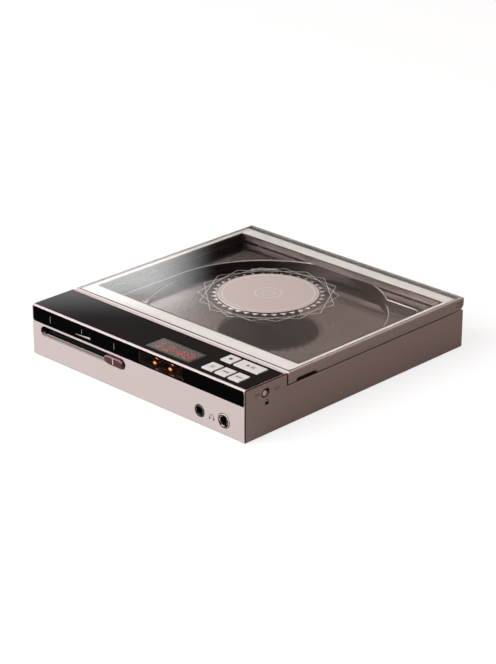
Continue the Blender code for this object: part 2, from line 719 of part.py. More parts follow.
def make_bottom_cover():
    """Flat cover let into the case from below, with standoffs and damper bosses."""
    across = (INSIDE_LEFT + FIT, INSIDE_RIGHT - FIT)
    cover = box(across, (INNER_FRONT, INSIDE_BACK - FIT), (0, COVER_THICKNESS))
    rooted = COVER_THICKNESS - OVERRUN / 2
    bosses = [
        disc(mech_point(u, v), DAMPER_BOSS_R, (rooted, DAMPER_SEAT), flats=FEW)
        for u, v in DAMPER_PLACES
    ]
    standoffs = [
        disc(spot, STANDOFF_R, (rooted, BOARD_Z - FIT), flats=FEW)
        for spot in standoff_places()
    ]
    join(cover, *bosses, *standoffs)
    seat = (-OVERRUN, FOOT_SEAT)
    sink = (-OVERRUN, SCREW_HEAD_HEIGHT + HAIR)
    through = (-OVERRUN, COVER_THICKNESS + OVERRUN)
    holes = [disc(spot, FOOT_R + FIT, seat) for spot in FOOT_PLACES]
    holes += [disc(spot, SCREW_HEAD_R + FIT, sink, flats=FEW) for spot in SCREW_PLACES]
    holes += [disc(spot, SCREW_SHANK_R + FIT, through, flats=FEW) for spot in SCREW_PLACES]
    return place(cut(cover, *holes), "bottom_cover", "anodised_case")


def standoff_places():
    """Four places under the corners of the main board."""
    x, y = board_outline()
    edge = STANDOFF_R * 2
    return [(a, b) for a in (x[0] + edge, x[1] - edge) for b in (y[0] + edge, y[1] - edge)]


def board_outline():
    """X and y ranges of the main board."""
    return (BOARD_SIDE, CASE_WIDTH - BOARD_SIDE), (BOARD_FRONT_Y, INSIDE_BACK - BOARD_BACK)


def make_feet_and_screws():
    """Four rubber feet and the four screws that hold the cover."""
    for i, spot in enumerate(FOOT_PLACES, 1):
        foot = disc(spot, FOOT_R, (-FOOT_PROUD, FOOT_SEAT - FIT))
        place(foot, f"foot_{i}", "rubber", (*spot, 0))
    for i, spot in enumerate(SCREW_PLACES, 1):
        screw = disc(spot, SCREW_HEAD_R, (0, SCREW_HEAD_HEIGHT), flats=FEW)
        shank = disc(spot, SCREW_SHANK_R, (SCREW_HEAD_HEIGHT / 2, SCREW_LENGTH), flats=FEW)
        place(join(screw, shank), f"cover_screw_{i}", "dark_metal", (*spot, 0))


def make_top_panel():
    """Gloss panel let into the block's top, with the display and the key holes cut through."""
    up = (CEILING_Z + FIT, CASE_HEIGHT)
    through = (0, CASE_HEIGHT + OVERRUN)
    panel = box(PANEL_X, PANEL_Y, up)
    holes = [box(grown(DISPLAY_X, FIT), grown(DISPLAY_Y, FIT), through)]
    for x, y in KEYS.values():
        outline = rounded(grown(x, FIT), grown(y, FIT), KEY_CORNER_R + FIT, 3)
        holes.append(prism(outline, through))
    place(cut(panel, *holes), "top_panel", "black_gloss")
    display = box(DISPLAY_X, DISPLAY_Y, (CEILING_Z + FIT, CASE_HEIGHT - DISPLAY_SINK))
    place(display, "display_module", "display_face")


def make_keys():
    """Five keys with flanges under the ceiling, and the board with a switch under each."""
    board_y = (FRONT_ROW[0] - KEY_OVERHANG, REAR_ROW[1] + KEY_OVERHANG)
    board = box(KEY_BOARD_X, board_y, (KEY_BOARD_TOP - KEY_BOARD_THICKNESS, KEY_BOARD_TOP))
    switches = []
    for name, (x, y) in KEYS.items():
        middle = (sum(x) / 2, sum(y) / 2)
        cap = prism(rounded(x, y, KEY_CORNER_R, 3), (KEY_FLANGE_UNDER, CASE_HEIGHT + KEY_PROUD))
        flange = box(x, grown(y, KEY_OVERHANG), (KEY_FLANGE_UNDER, KEY_FLANGE_TOP))
        place(join(cap, flange), name, "silver_keys", (*middle, CASE_HEIGHT))
        switch_up = (KEY_BOARD_TOP - KEY_BOARD_THICKNESS / 2, KEY_BOARD_TOP + SWITCH_HEIGHT)
        switches.append(disc(middle, SWITCH_R, switch_up, flats=FEW))
    place(join(board, *switches), "key_board", "board_green")


def make_front_strip():
    """Gloss strip let into the front face, with the window in a hole of its own."""
    strip = prism(rounded(STRIP_X, STRIP_UP, STRIP_CORNER_R), (0, STRIP_THICKNESS), "Y")
    hole = rounded(grown(WINDOW_X, FIT), grown(WINDOW_UP, FIT), WINDOW_CORNER_R + FIT)
    cut(strip, prism(hole, (-OVERRUN, STRIP_THICKNESS + OVERRUN), "Y"))
    place(strip, "front_strip", "black_gloss")
    pane = prism(rounded(WINDOW_X, WINDOW_UP, WINDOW_CORNER_R), (0, STRIP_THICKNESS), "Y")
    place(pane, "valve_window", "dark_glass")


def make_valves():
    """Two small glass valves lying behind the window, with electrodes in an open-backed tube."""
    valve_back = VALVE_FRONT + VALVE_LENGTH
    valve_up = span(STRIP_Z, VALVE_HEIGHT)
    inner_up = grown(valve_up, -VALVE_GLASS)
    holder_x = (
        VALVE_FIRST_X - VALVE_WIDTH / 2 - FIT - HOLDER_WALL,
        VALVE_FIRST_X + VALVE_PITCH + VALVE_WIDTH / 2 + FIT + HOLDER_WALL,
    )
    holder_back = valve_back + FIT + HOLDER_BACK
    holder_up = (valve_up[0] - FIT - HOLDER_WALL, CEILING_UNDER - HAIR)
    holder = box(holder_x, (valve_back - VALVE_ROOT, holder_back), holder_up)
    sockets = []
    for i, side in enumerate(("left", "right")):
        x = VALVE_FIRST_X + i * VALVE_PITCH
        across = span(x, VALVE_WIDTH)
        tube = prism(
            rounded(across, valve_up, VALVE_HEIGHT / 2, 6), (VALVE_FRONT, valve_back), "Y"
        )
        bore_y = (VALVE_FRONT + VALVE_NOSE, valve_back + OVERRUN)
        bore_r = VALVE_HEIGHT / 2 - VALVE_GLASS
        bore = prism(rounded(grown(across, -VALVE_GLASS), inner_up, bore_r, 6), bore_y, "Y")
        chamfer(tube, VALVE_GLASS, lambda spot: spot.y < VALVE_FRONT + HAIR)
        place(cut(tube, bore), f"valve_{side}", "clear_glass", (x, valve_back, STRIP_Z))
        electrode_y = (VALVE_FRONT + ELECTRODE_FRONT_GAP, valve_back - ELECTRODE_TAIL)
        electrode = box(
            span(x, ELECTRODE_WIDTH), electrode_y, span(STRIP_Z, ELECTRODE_HEIGHT)
        )
        chamfer(electrode, HAIR, lambda spot: True)
        place(electrode, f"valve_{side}_electrodes", "valve_glow", (x, valve_back, STRIP_Z))
        hole_y = (valve_back - VALVE_ROOT - OVERRUN, valve_back + FIT)
        hole_up = (valve_up[0] - FIT, CEILING_UNDER + OVERRUN)
        sockets.append(box(grown(across, FIT), hole_y, hole_up))
    place(cut(holder, *sockets), "valve_holder", "black_plastic")


def make_volume_slide():
    """Slide potentiometer behind the slot, and its long knob at the loud end."""
    body_y = (INNER_FRONT, INNER_FRONT + FADER_DEPTH)
    fader = box(grown(SLOT_X, FADER_MARGIN), body_y, grown(SLOT_UP, FADER_MARGIN))
    loud_x = SLOT_X[1] - KNOB_END_GAP - KNOB_LENGTH / 2
    stem_x = (loud_x - VOLUME_TRAVEL, loud_x)
    stem_end = KNOB_INSET + STEM_LENGTH
    channel_y = (INNER_FRONT - OVERRUN, INNER_FRONT + FADER_CHANNEL)
    channel = prism(rounded(SLOT_X, SLOT_UP, SLOT_HEIGHT / 2), channel_y, "Y")
    stem_slot = box(
        grown(stem_x, STEM_WIDTH / 2 + FIT),
        (INNER_FRONT, stem_end + FIT),
        span(SLOT_Z, STEM_HEIGHT + 2 * FIT),
    )
    place(cut(fader, channel, stem_slot), "volume_fader", "dark_metal")
    tip, half = KNOB_TIP_HEIGHT / 2, KNOB_HEIGHT / 2
    end, shoulder = KNOB_LENGTH / 2, KNOB_LENGTH / 2 - KNOB_TAPER
    corners = [(end, tip), (shoulder, half), (-shoulder, half), (-end, tip)]
    outline = [(loud_x + a, SLOT_Z + b) for a, b in corners]
    outline += [(loud_x + a, SLOT_Z - b) for a, b in reversed(corners)]
    knob = prism(outline, (-KNOB_PROUD, KNOB_INSET), "Y")
    chamfer(knob, CASE_CHAMFER, lambda spot: spot.y < HAIR - KNOB_PROUD)
    stem = box(
        span(loud_x, STEM_WIDTH), (KNOB_INSET - KNOB_PROUD, stem_end), span(SLOT_Z, STEM_HEIGHT)
    )
    place(join(knob, stem), "volume_knob", "knob_maroon", (loud_x, 0, SLOT_Z))


def make_jacks():
    """Two headphone jacks with their front rings, and the charging socket at the rear."""
    sizes = (
        ("3_5", SMALL_JACK_X, SMALL_JACK_BODY, SMALL_JACK_BORE_R, SMALL_RING_R, "dark_metal"),
        ("4_4", LARGE_JACK_X, LARGE_JACK_BODY, LARGE_JACK_BORE_R, LARGE_RING_R, "bright_metal"),
    )
    back = INNER_FRONT + JACK_LENGTH
    for label, x, body, bore_r, ring_r, finish in sizes:
        spot = (x, JACK_Z)
        jack = box(span(x, body), (INNER_FRONT, back), span(JACK_Z, body))
        bore = disc(spot, bore_r, (INNER_FRONT - OVERRUN, back - JACK_END_WALL), "Y")
        origin = (x, 0, JACK_Z)
        place(cut(jack, bore), f"headphone_jack_{label}", "black_plastic", origin)
        ring = disc(spot, ring_r, (-RING_PROUD, FRONT_WALL), "Y")
        opening = disc(spot, bore_r + RING_BORE_EXTRA, (-OVERRUN, INNER_FRONT), "Y")
        place(cut(ring, opening), f"jack_ring_{label}", finish, origin)
    socket_y = (CASE_DEPTH - USB_SINK - USB_LENGTH, CASE_DEPTH - USB_SINK)
    across, up = span(USB_X, USB_WIDTH), span(USB_Z, USB_HEIGHT)
    socket = prism(rounded(across, up, USB_HEIGHT / 2), socket_y, "Y")
    mouth_y = (socket_y[0] + USB_LENGTH / 3, CASE_DEPTH + OVERRUN)
    mouth_r = USB_HEIGHT / 2 - USB_WALL
    mouth = prism(rounded(grown(across, -USB_WALL), grown(up, -USB_WALL), mouth_r), mouth_y, "Y")
    tongue = box(grown(across, -USB_HEIGHT / 2), grown(socket_y, -USB_WALL), span(USB_Z, USB_WALL))
    place(join(cut(socket, mouth), tongue), "usb_c_socket", "bright_metal")


def make_lock():
    """Sliding lock: a round knob with a flange inside the wall, and its switch."""
    flange_x = (INSIDE_RIGHT - FIT - LOCK_FLANGE, INSIDE_RIGHT - FIT)
    y = LOCK_Y - LOCK_TRAVEL / 2
    spot = (y, LOCK_Z)
    knob_x = (flange_x[0] + LOCK_FLANGE / 2, CASE_WIDTH - LOCK_SINK)
    knob = disc(spot, LOCK_KNOB_R, knob_x, "X")
    flange = disc(spot, LOCK_FLANGE_R, flange_x, "X")
    place(join(knob, flange), "lock_knob", "silver_keys", (CASE_WIDTH, y, LOCK_Z))
    body_x = (flange_x[0] - FIT - LOCK_BODY_DEPTH, flange_x[0] - FIT)
    body = box(body_x, span(LOCK_Y, LOCK_BODY_LENGTH), span(LOCK_Z, LOCK_BODY_HEIGHT))
    place(body, "lock_switch", "black_plastic")


def pocket_outline(quarter, wall):
    """Corner of the finger pocket beside the well, made larger by a wall."""
    return rounded(grown(quarter[0], wall), grown(quarter[1], wall), POCKET_CORNER_R + wall)


def make_disc_tray():
    """Deck with the sunk disc well, its two finger pockets and the laser slot."""
    centre = (CENTRE_X, WELL_Y)
    across = (INSIDE_LEFT + FIT, INSIDE_RIGHT - FIT)
    plate = box(across, (TRAY_FRONT_Y + FIT, INSIDE_BACK - FIT), (DECK_Z - TRAY_PLATE, DECK_Z))
    below = DECK_Z - TRAY_PLATE / 2
    bowl = disc(centre, WELL_R + WELL_WALL, (WELL_UNDER, below), flats=MANY)
    blocks = [
        prism(pocket_outline(quarter, WELL_WALL), (POCKET_FLOOR - WELL_WALL, below))
        for quarter in POCKET_QUARTERS
    ]
    tray = join(plate, bowl, *blocks)
    above = DECK_Z + OVERRUN
    well = disc(centre, WELL_R, (WELL_FLOOR, above), flats=MANY)
    pockets = [
        prism(pocket_outline(quarter, 0), (POCKET_FLOOR, above)) for quarter in POCKET_QUARTERS
    ]
    hub_hole = disc(centre, HUB_HOLE_R, (WELL_UNDER - OVERRUN, above), flats=SOME)
    slot_points = [
        mech_point(u, v)
        for u, v in (
            (LASER_SLOT_START, -LASER_SLOT_WIDTH / 2),
            (LASER_SLOT_END, -LASER_SLOT_WIDTH / 2),
            (LASER_SLOT_END, LASER_SLOT_WIDTH / 2),
            (LASER_SLOT_START, LASER_SLOT_WIDTH / 2),
        )
    ]
    slot = prism(slot_points, (WELL_UNDER - OVERRUN, above))
    notch_y = (BRACKET_BASE_Y[0] - FIT, INSIDE_BACK + OVERRUN)
    notches = [
        box(grown(knuckle, FIT), notch_y, (TRAY_SEAT, above))
        for knuckle in (LEFT_KNUCKLE, mirrored(LEFT_KNUCKLE))
    ]
    cut(tray, well, *pockets, hub_hole, slot, *notches)
    place(tray, "disc_tray", "deck_metal")


def make_turntable():
    """Hub that holds the disc, its rubber mat, and the motor below with the shaft."""
    centre = (CENTRE_X, WELL_Y)
    top = WELL_FLOOR + PLATTER_THICKNESS - PLATTER_DROP
    under = WELL_FLOOR - PLATTER_DROP
    boss_top = top + FIT + MAT_THICKNESS + HUB_BOSS_HEIGHT
    hub = disc(centre, PLATTER_R, (under, top), flats=MANY)
    boss = disc(centre, HUB_BOSS_R, (top - MAT_THICKNESS, boss_top))
    chamfer(boss, HUB_BOSS_CHAMFER, lambda spot: spot.z > boss_top - HAIR)
    sleeve = disc(centre, HUB_SLEEVE_R, (under - HUB_SLEEVE_LENGTH, top - MAT_THICKNESS))
    bore_up = (under - HUB_SLEEVE_LENGTH - OVERRUN, HUB_BORE_TOP + FIT)
    join(hub, boss, sleeve)
    cut(hub, disc(centre, SHAFT_R + FIT, bore_up, flats=FEW))
    origin = (*centre, WELL_FLOOR)
    place(hub, "turntable_hub", "black_plastic", origin)
    mat_up = (top + FIT, top + FIT + MAT_THICKNESS)
    mat = disc(centre, MAT_OUTER_R, mat_up)
    cut(mat, disc(centre, MAT_INNER_R, grown(mat_up, OVERRUN)))
    place(mat, "turntable_mat", "rubber", origin)
    motor_top = CHASSIS_UNDER - FIT
    motor = disc(centre, MOTOR_R, (motor_top - MOTOR_HEIGHT, motor_top))
    shaft = disc(centre, SHAFT_R, (motor_top - MOTOR_HEIGHT / 2, HUB_BORE_TOP), flats=FEW)
    place(join(motor, shaft), "spindle_motor", "bright_metal", origin)


def make_mechanism():
    """Pickup mechanism on an empty that is turned so that its u axis runs to the rear left."""
    turned = bpy.data.objects.new("mechanism_axis", None)
    bpy.context.scene.collection.objects.link(turned)
    turned.location = Vector((CENTRE_X, WELL_Y, 0)) + CASE_TO_WORLD
    turned.rotation_euler.z = MECH_TURN
    make_chassis(turned)
    make_sled(turned)
    rods_u = (TAB_FIRST_U, TAB_LAST_U + TAB_THICKNESS)
    for side, v in (("left", ROD_V), ("right", -ROD_V)):
        rod = disc((v, ROD_Z), ROD_R, rods_u, "X", FEW)
        place(rod, f"guide_rod_{side}", "bright_metal", (0, v, ROD_Z), turned)
    axis = (-SCREW_V, ROD_Z)
    screw = disc(axis, LEAD_SCREW_R, rods_u, "X", FEW)
    place(screw, "lead_screw", "bright_metal", (0, *axis), turned)
    motor_u = (TAB_FIRST_U - FIT - SLED_MOTOR_LENGTH, TAB_FIRST_U - FIT)
    motor = disc(axis, SLED_MOTOR_R, motor_u, "X")
    place(motor, "sled_motor", "bright_metal", (0, *axis), turned)
    for i, (u, v) in enumerate(DAMPER_PLACES, 1):
        damper_up = (DAMPER_SEAT + HAIR, DAMPER_SEAT + HAIR + DAMPER_HEIGHT)
        damper = disc((u, v), DAMPER_R, damper_up, flats=FEW)
        place(damper, f"damper_{i}", "rubber", (u, v, DAMPER_SEAT), turned)


def make_chassis(parent):
    """Plate under the well with ears for the dampers and two tabs that hold the rods."""
    up = (CHASSIS_UNDER, CHASSIS_TOP)
    half = (-CHASSIS_HALF_WIDTH, CHASSIS_HALF_WIDTH)
    plate = box((-CHASSIS_BACK, CHASSIS_FRONT), half, up)
    ears = box(span(EAR_U, EAR_LENGTH), (-EAR_REACH, EAR_REACH), up)
    tab_up = (CHASSIS_UNDER - TAB_DROP, CHASSIS_UNDER + CHASSIS_THICKNESS / 2)
    tab_v = (-CHASSIS_HALF_WIDTH + FIT, ROD_V + ROD_R + OVERRUN)
    tabs = [
        box((u, u + TAB_THICKNESS), tab_v, tab_up) for u in (TAB_FIRST_U, TAB_LAST_U)
    ]
    join(plate, ears, *tabs)
    window = box(
        (CHASSIS_WINDOW_START, CHASSIS_WINDOW_END),
        (-LASER_SLOT_WIDTH / 2, LASER_SLOT_WIDTH / 2),
        grown(up, OVERRUN),
    )
    spindle = disc((0, 0), SPINDLE_HOLE_R, grown(up, OVERRUN))
    along = (TAB_FIRST_U - OVERRUN, TAB_LAST_U + TAB_THICKNESS + OVERRUN)
    bores = [disc((v, ROD_Z), ROD_R + FIT, along, "X", FEW) for v in (ROD_V, -ROD_V)]
    bores.append(disc((-SCREW_V, ROD_Z), LEAD_SCREW_R + FIT, along, "X", FEW))
    cut(plate, window, spindle, *bores)
    place(plate, "mech_chassis", "bright_metal", (0, 0, CHASSIS_UNDER), parent)


def make_sled(parent):
    """Optical sled that runs on both rods, with the arm on the lead screw and the lens."""
    top = CHASSIS_UNDER - SLED_TOP_DROP
    up = (top - SLED_HEIGHT, top)
    along = (SLED_REST_U - SLED_BACK, SLED_REST_U + SLED_FRONT)
    sled = box(along, (-SLED_HALF_WIDTH, SLED_HALF_WIDTH), up)
    tower = box(
        grown((SLED_REST_U, SLED_REST_U), SLED_TOWER_HALF),
        (-SLED_TOWER_HALF, SLED_TOWER_HALF),
        (top - OVERRUN, top + SLED_TOWER_RISE),
    )
    arm = box(
        span(SLED_REST_U, SLED_ARM_LENGTH),
        (-SCREW_V - SLED_ARM_EDGE, OVERRUN - SLED_HALF_WIDTH),
        span(ROD_Z, 2 * (LEAD_SCREW_R + FIT + SLED_ARM_CHEEK)),
    )
    join(sled, tower, arm)
    through = grown(along, OVERRUN)
    bores = [disc((v, ROD_Z), ROD_R + FIT, through, "X", FEW) for v in (ROD_V, -ROD_V)]
    bores.append(disc((-SCREW_V, ROD_Z), LEAD_SCREW_R + FIT, through, "X", FEW))
    origin = (SLED_REST_U, 0, ROD_Z)
    place(cut(sled, *bores), "optical_sled", "grey_plastic", origin, parent)
    lens_up = (top + SLED_TOWER_RISE + FIT, top + SLED_TOWER_RISE + FIT + LENS_HEIGHT)
    lens = disc((SLED_REST_U, 0), LENS_R, lens_up)
    place(lens, "objective_lens", "dark_glass", (SLED_REST_U, 0, lens_up[0]), parent)


def make_electronics():
    """Main board on its standoffs with a row of chips, and the battery on the board."""
    x, y = board_outline()
    board = box(x, y, (BOARD_Z, BOARD_TOP))
    chips = []
    for i in range(CHIP_COUNT):
        left = CHIP_FIRST_X + i * CHIP_SPACING
        chip_up = (BOARD_TOP - BOARD_THICKNESS / 2, BOARD_TOP + CHIP_HEIGHT)
        chips.append(box((left, left + CHIP_SIZE), (CHIP_Y, CHIP_Y + CHIP_SIZE), chip_up))
    join(board, *chips)
    through = (BOARD_Z - OVERRUN, BOARD_TOP + OVERRUN)
    holes = [
        disc(mech_point(u, v), DAMPER_BOSS_R + FIT, through, flats=FEW)
        for u, v in DAMPER_PLACES
    ]
    place(cut(board, *holes), "main_board", "board_green")
    battery = prism(
        rounded(
            BATTERY_X,
            (BOARD_TOP + FIT, BOARD_TOP + FIT + BATTERY_HEIGHT),
            min(BATTERY_CORNER_R, BATTERY_HEIGHT / 2 - HAIR),
        ),
        BATTERY_Y,
        "Y",
    )
    place(battery, "battery_pack", "battery_wrap")


def lid_side_outline():
    """Side outline of the lid, its lower rear corner round about the hinge axis."""
    outline = [(LID_FRONT_Y, CASE_HEIGHT), (LID_FRONT_Y, LID_UNDER)]
    for i in range(FEW // 2 + 1):
        turn = math.pi / 2 * i / (FEW // 2)
        y = HINGE_Y + LID_CORNER_R * math.sin(turn)
        outline.append((y, HINGE_Z - LID_CORNER_R * math.cos(turn)))
    outline.append((CASE_DEPTH, CASE_HEIGHT))
    return outline


def make_lid_frame():
    """Lid frame with a recess for the glass, walls below it and room for both hinges."""
    frame = prism(lid_side_outline(), (0, CASE_WIDTH), "X")

    def outer_edge(spot):
        """Whether an edge lies on the lid's top or upright corners."""
        at_top = spot.z > CASE_HEIGHT - HAIR
        return at_top or (spot.y < LID_FRONT_Y + HAIR and spot.z > LID_UNDER + HAIR)

    chamfer(frame, CASE_CHAMFER, outer_edge)
    recess_x = (LID_RECESS_SIDE, CASE_WIDTH - LID_RECESS_SIDE)
    recess_y = (LID_FRONT_Y + LID_RECESS_FRONT, CASE_DEPTH - LID_RECESS_BACK)
    opening = ((LIP_SIDE, CASE_WIDTH - LIP_SIDE), (LIP_FRONT_Y, LIP_BACK_Y))
    walls = ((LID_WALL_SIDE, CASE_WIDTH - LID_WALL_SIDE), (LID_WALL_FRONT_Y, LID_WALL_BACK_Y))
    below = LID_UNDER - OVERRUN
    notch_top = LID_UNDER + NOTCH_HEIGHT
    drop = NOTCH_SLOPE * OVERRUN / NOTCH_HEIGHT
    notch = [
        (NOTCH_FRONT_Y - drop, below),
        (NOTCH_BACK_Y + drop, below),
        (NOTCH_BACK_Y - NOTCH_SLOPE, notch_top),
        (NOTCH_FRONT_Y + NOTCH_SLOPE, notch_top),
    ]
    cutters = [
        box(recess_x, recess_y, (LIP_TOP, CASE_HEIGHT + OVERRUN)),
        box(*opening, (LIP_TOP - LIP_THICKNESS - OVERRUN, LIP_TOP + OVERRUN)),
        box(*walls, (below, LIP_TOP - LIP_THICKNESS)),
        prism(notch, (CASE_WIDTH - NOTCH_REACH, CASE_WIDTH + OVERRUN), "X"),
    ]
    slot_y = (HINGE_Y - HINGE_SLOT_FRONT, CASE_DEPTH + OVERRUN)
    axis = (HINGE_Y, HINGE_Z)
    pin_x = grown(LEFT_KNUCKLE, HINGE_PIN_OVERHANG + FIT)
    magnet_up = (below, LID_UNDER + MAGNET_THICKNESS + 2 * FIT)
    for flip in (tuple, mirrored):
        knuckle = grown(flip(LEFT_KNUCKLE), FIT)
        cutters.append(box(knuckle, slot_y, (below, HINGE_Z + KNUCKLE_R + FIT)))
        cutters.append(disc(axis, HINGE_PIN_R + HAIR, flip(pin_x), "X", FEW))
        x = sum(flip((MAGNET_X, MAGNET_X))) / 2
        cutters.append(disc((x, MAGNET_Y), MAGNET_R + FIT, magnet_up))
    cut(frame, *cutters)
    place(frame, "lid_frame", "anodised_case", (CENTRE_X, HINGE_Y, HINGE_Z))


def make_lid_glass():
    """Lid glass in its recess, and the round badge let into the glass."""
    x = (LID_RECESS_SIDE + FIT, CASE_WIDTH - LID_RECESS_SIDE - FIT)
    y = (LID_FRONT_Y + LID_RECESS_FRONT + FIT, CASE_DEPTH - LID_RECESS_BACK - FIT)
    glass = box(x, y, (LIP_TOP + FIT, CASE_HEIGHT))
    centre = (CENTRE_X, BADGE_Y)
    seat = (CASE_HEIGHT - BADGE_THICKNESS - FIT, CASE_HEIGHT + OVERRUN)
    cut(glass, disc(centre, BADGE_R + FIT, seat, flats=MANY))
    place(glass, "lid_glass", "clear_glass", (CENTRE_X, HINGE_Y, HINGE_Z))
    badge = disc(centre, BADGE_R, (CASE_HEIGHT - BADGE_THICKNESS, CASE_HEIGHT), flats=MANY)
    place(badge, "lid_badge", "badge_metal", (CENTRE_X, HINGE_Y, HINGE_Z))


def make_hinges():
    """Hinge brackets on the rear ledge, their pins, and the magnets in the lid's front."""
    axis = (HINGE_Y, HINGE_Z)
    base_up = (TRAY_SEAT + FIT, DECK_Z)
    neck_y = (HINGE_Y - BRACKET_NECK_FRONT, HINGE_Y + BRACKET_NECK_BACK)
    neck_up = (DECK_Z - TRAY_PLATE / 2, HINGE_Z)
    magnet_up = (LID_UNDER + FIT, LID_UNDER + FIT + MAGNET_THICKNESS)
    for side, flip in (("left", tuple), ("right", mirrored)):
        knuckle_x = flip(LEFT_KNUCKLE)
        middle = sum(knuckle_x) / 2
        bracket = box(knuckle_x, BRACKET_BASE_Y, base_up)
        neck = box(knuckle_x, neck_y, neck_up)
        knuckle = disc(axis, KNUCKLE_R, knuckle_x, "X")
        join(bracket, neck, knuckle)
        cut(bracket, disc(axis, HINGE_PIN_R + FIT, grown(knuckle_x, OVERRUN), "X", FEW))
        place(bracket, f"hinge_bracket_{side}", "bright_metal", (middle, *axis))
        pin = disc(axis, HINGE_PIN_R, grown(knuckle_x, HINGE_PIN_OVERHANG), "X", FEW)
        place(pin, f"hinge_pin_{side}", "dark_metal", (middle, *axis))
        x = sum(flip((MAGNET_X, MAGNET_X))) / 2
        magnet = disc((x, MAGNET_Y), MAGNET_R, magnet_up)
        place(magnet, f"lid_magnet_{side}", "dark_metal", (x, *axis))


def main():
    """Clears the scene and builds every sub-part."""
    for thing in list(bpy.data.objects):
        bpy.data.objects.remove(thing)
    make_case_body()
    make_bottom_cover()
    make_feet_and_screws()
    make_top_panel()
    make_keys()
    make_front_strip()
    make_valves()
    make_volume_slide()
    make_jacks()
    make_lock()
    make_disc_tray()
    make_turntable()
    make_mechanism()
    make_electronics()
    make_lid_frame()
    make_lid_glass()
    make_hinges()


main()
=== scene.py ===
"""Looks of a portable disc player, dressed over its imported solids.

Sizes in the classes below are millimetres in case coordinates: x from the left side of
the case, y from its front face, z from its underside. Part.at() turns them into metres
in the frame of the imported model, measured from the corner of its case.
"""

import logging
import math
from collections.abc import Callable, Sequence
from dataclasses import dataclass
from enum import Enum

import bmesh
import bpy
from bpy.types import ID, Material, Mesh, Node, NodeSocket, NodeTree, Object
from mathutils import Matrix, Vector


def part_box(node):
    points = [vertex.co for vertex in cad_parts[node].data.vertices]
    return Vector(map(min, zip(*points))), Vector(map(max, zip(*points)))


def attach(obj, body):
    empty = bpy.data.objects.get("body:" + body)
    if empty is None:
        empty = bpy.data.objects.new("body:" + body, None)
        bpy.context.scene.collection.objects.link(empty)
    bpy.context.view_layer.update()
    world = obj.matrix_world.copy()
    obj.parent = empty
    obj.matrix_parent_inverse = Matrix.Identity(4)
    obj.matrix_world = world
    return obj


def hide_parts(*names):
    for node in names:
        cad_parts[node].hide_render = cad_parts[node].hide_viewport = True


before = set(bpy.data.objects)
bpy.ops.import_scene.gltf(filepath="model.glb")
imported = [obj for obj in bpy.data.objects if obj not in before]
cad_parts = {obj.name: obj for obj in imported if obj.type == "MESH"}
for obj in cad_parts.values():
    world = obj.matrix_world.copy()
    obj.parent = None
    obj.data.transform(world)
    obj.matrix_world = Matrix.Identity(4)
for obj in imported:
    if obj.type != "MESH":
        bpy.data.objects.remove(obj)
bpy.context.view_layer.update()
LOG = logging.getLogger("disc_player")
MM = 0.001
CASE_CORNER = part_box("case_body")[0]
UP, FORWARD, RIGHTWARD = Vector((0, 0, 1)), Vector((0, -1, 0)), Vector((1, 0, 0))
# Least share of a face's direction along an axis that it is square to, faces, turns to,
# slopes towards or leans towards
SQUARE, FACING, TURNED, SLOPED, LEANING = 0.9, 0.7, 0.5, 0.3, 0.2
# Degrees above which a dressed edge stays sharp, and above which a packed edge is rounded
SHARP, ROUNDED_FROM = 50.0, 40.0
# How deep an inlay is let in, and how far its seat is cut clear of the surface
HAIR, CLEAR = 0.01, 0.2
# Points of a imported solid, and of a letter, that are nearer than this are one
WELD, WELD_LETTER = 0.001, 0.0005
# How far the cutter of a window stands past it
PAST = 1.0
# Noise cells in a metre for the slow drift of a gloss, one in about 22 mm
DRIFT_SCALE = 45.0

Point = tuple[float, float, float]
Flat = tuple[float, float]
Limits = tuple[float, float]
Block = tuple[Limits, Limits, Limits]
Test = Callable[[Point, Vector], bool]


class Axis(Enum):
    """Direction that an outline is drawn along."""

    X = "x"
    Y = "y"
    Z = "z"

    def point(self, a: float, b: float, t: float) -> Point:
        """Gives the point whose place across the axis is a, b and along it is t."""
        return {Axis.X: (t, a, b), Axis.Y: (a, t, b), Axis.Z: (a, b, t)}[self]


class Body(Enum):
    """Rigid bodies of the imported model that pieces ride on."""

    CASE = "case"
    LID = "lid"
    VOLUME = "volume"
    LOCK = "lock"
    TURNTABLE = "turntable"
    SLED = "sled"
    LENS = "lens"
    FEED_SCREW = "feed_screw"
    KEY_STOP = "key_stop"
    KEY_PLAY = "key_play"
    KEY_MENU = "key_menu"
    KEY_PREVIOUS = "key_previous"
    KEY_NEXT = "key_next"


class Edge(Enum):
    """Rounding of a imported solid's edges: width in millimetres and straight steps over it."""

    BOARD = (0.05, 2)
    PANEL = (0.06, 2)
    SOCKET = (0.08, 2)
    FINE = (0.1, 2)
    TRIM = (0.12, 2)
    COVER = (0.15, 2)
    LID = (0.18, 3)
    SOFT = (0.2, 2)
    SMOOTH = (0.2, 3)
    HUB = (0.25, 2)
    RING = (0.28, 2)
    MOTOR = (0.3, 2)
    ROUND = (0.3, 3)
    WELL = (0.4, 2)
    BATTERY = (0.8, 2)


def linear(hex_colour: str) -> tuple[float, float, float, float]:
    """Turns an sRGB hex colour into a linear one.

    Args:
        hex_colour: Six hex digits, such as "c9bdbb".

    Returns:
        The linear red, green, blue and an alpha of 1.
    """
    parts = [int(hex_colour[i : i + 2], 16) / 255 for i in (0, 2, 4)]
    bent = [c / 12.92 if c <= 0.04045 else ((c + 0.055) / 1.055) ** 2.4 for c in parts]
    return (bent[0], bent[1], bent[2], 1.0)


def cleared_tree(owner: ID) -> NodeTree:
    """Empties the node tree of a material or a world.

    Args:
        owner: Material or world that the tree belongs to.

    Returns:
        The empty tree.
    """
    owner.use_nodes = True
    owner.node_tree.nodes.clear()
    return owner.node_tree


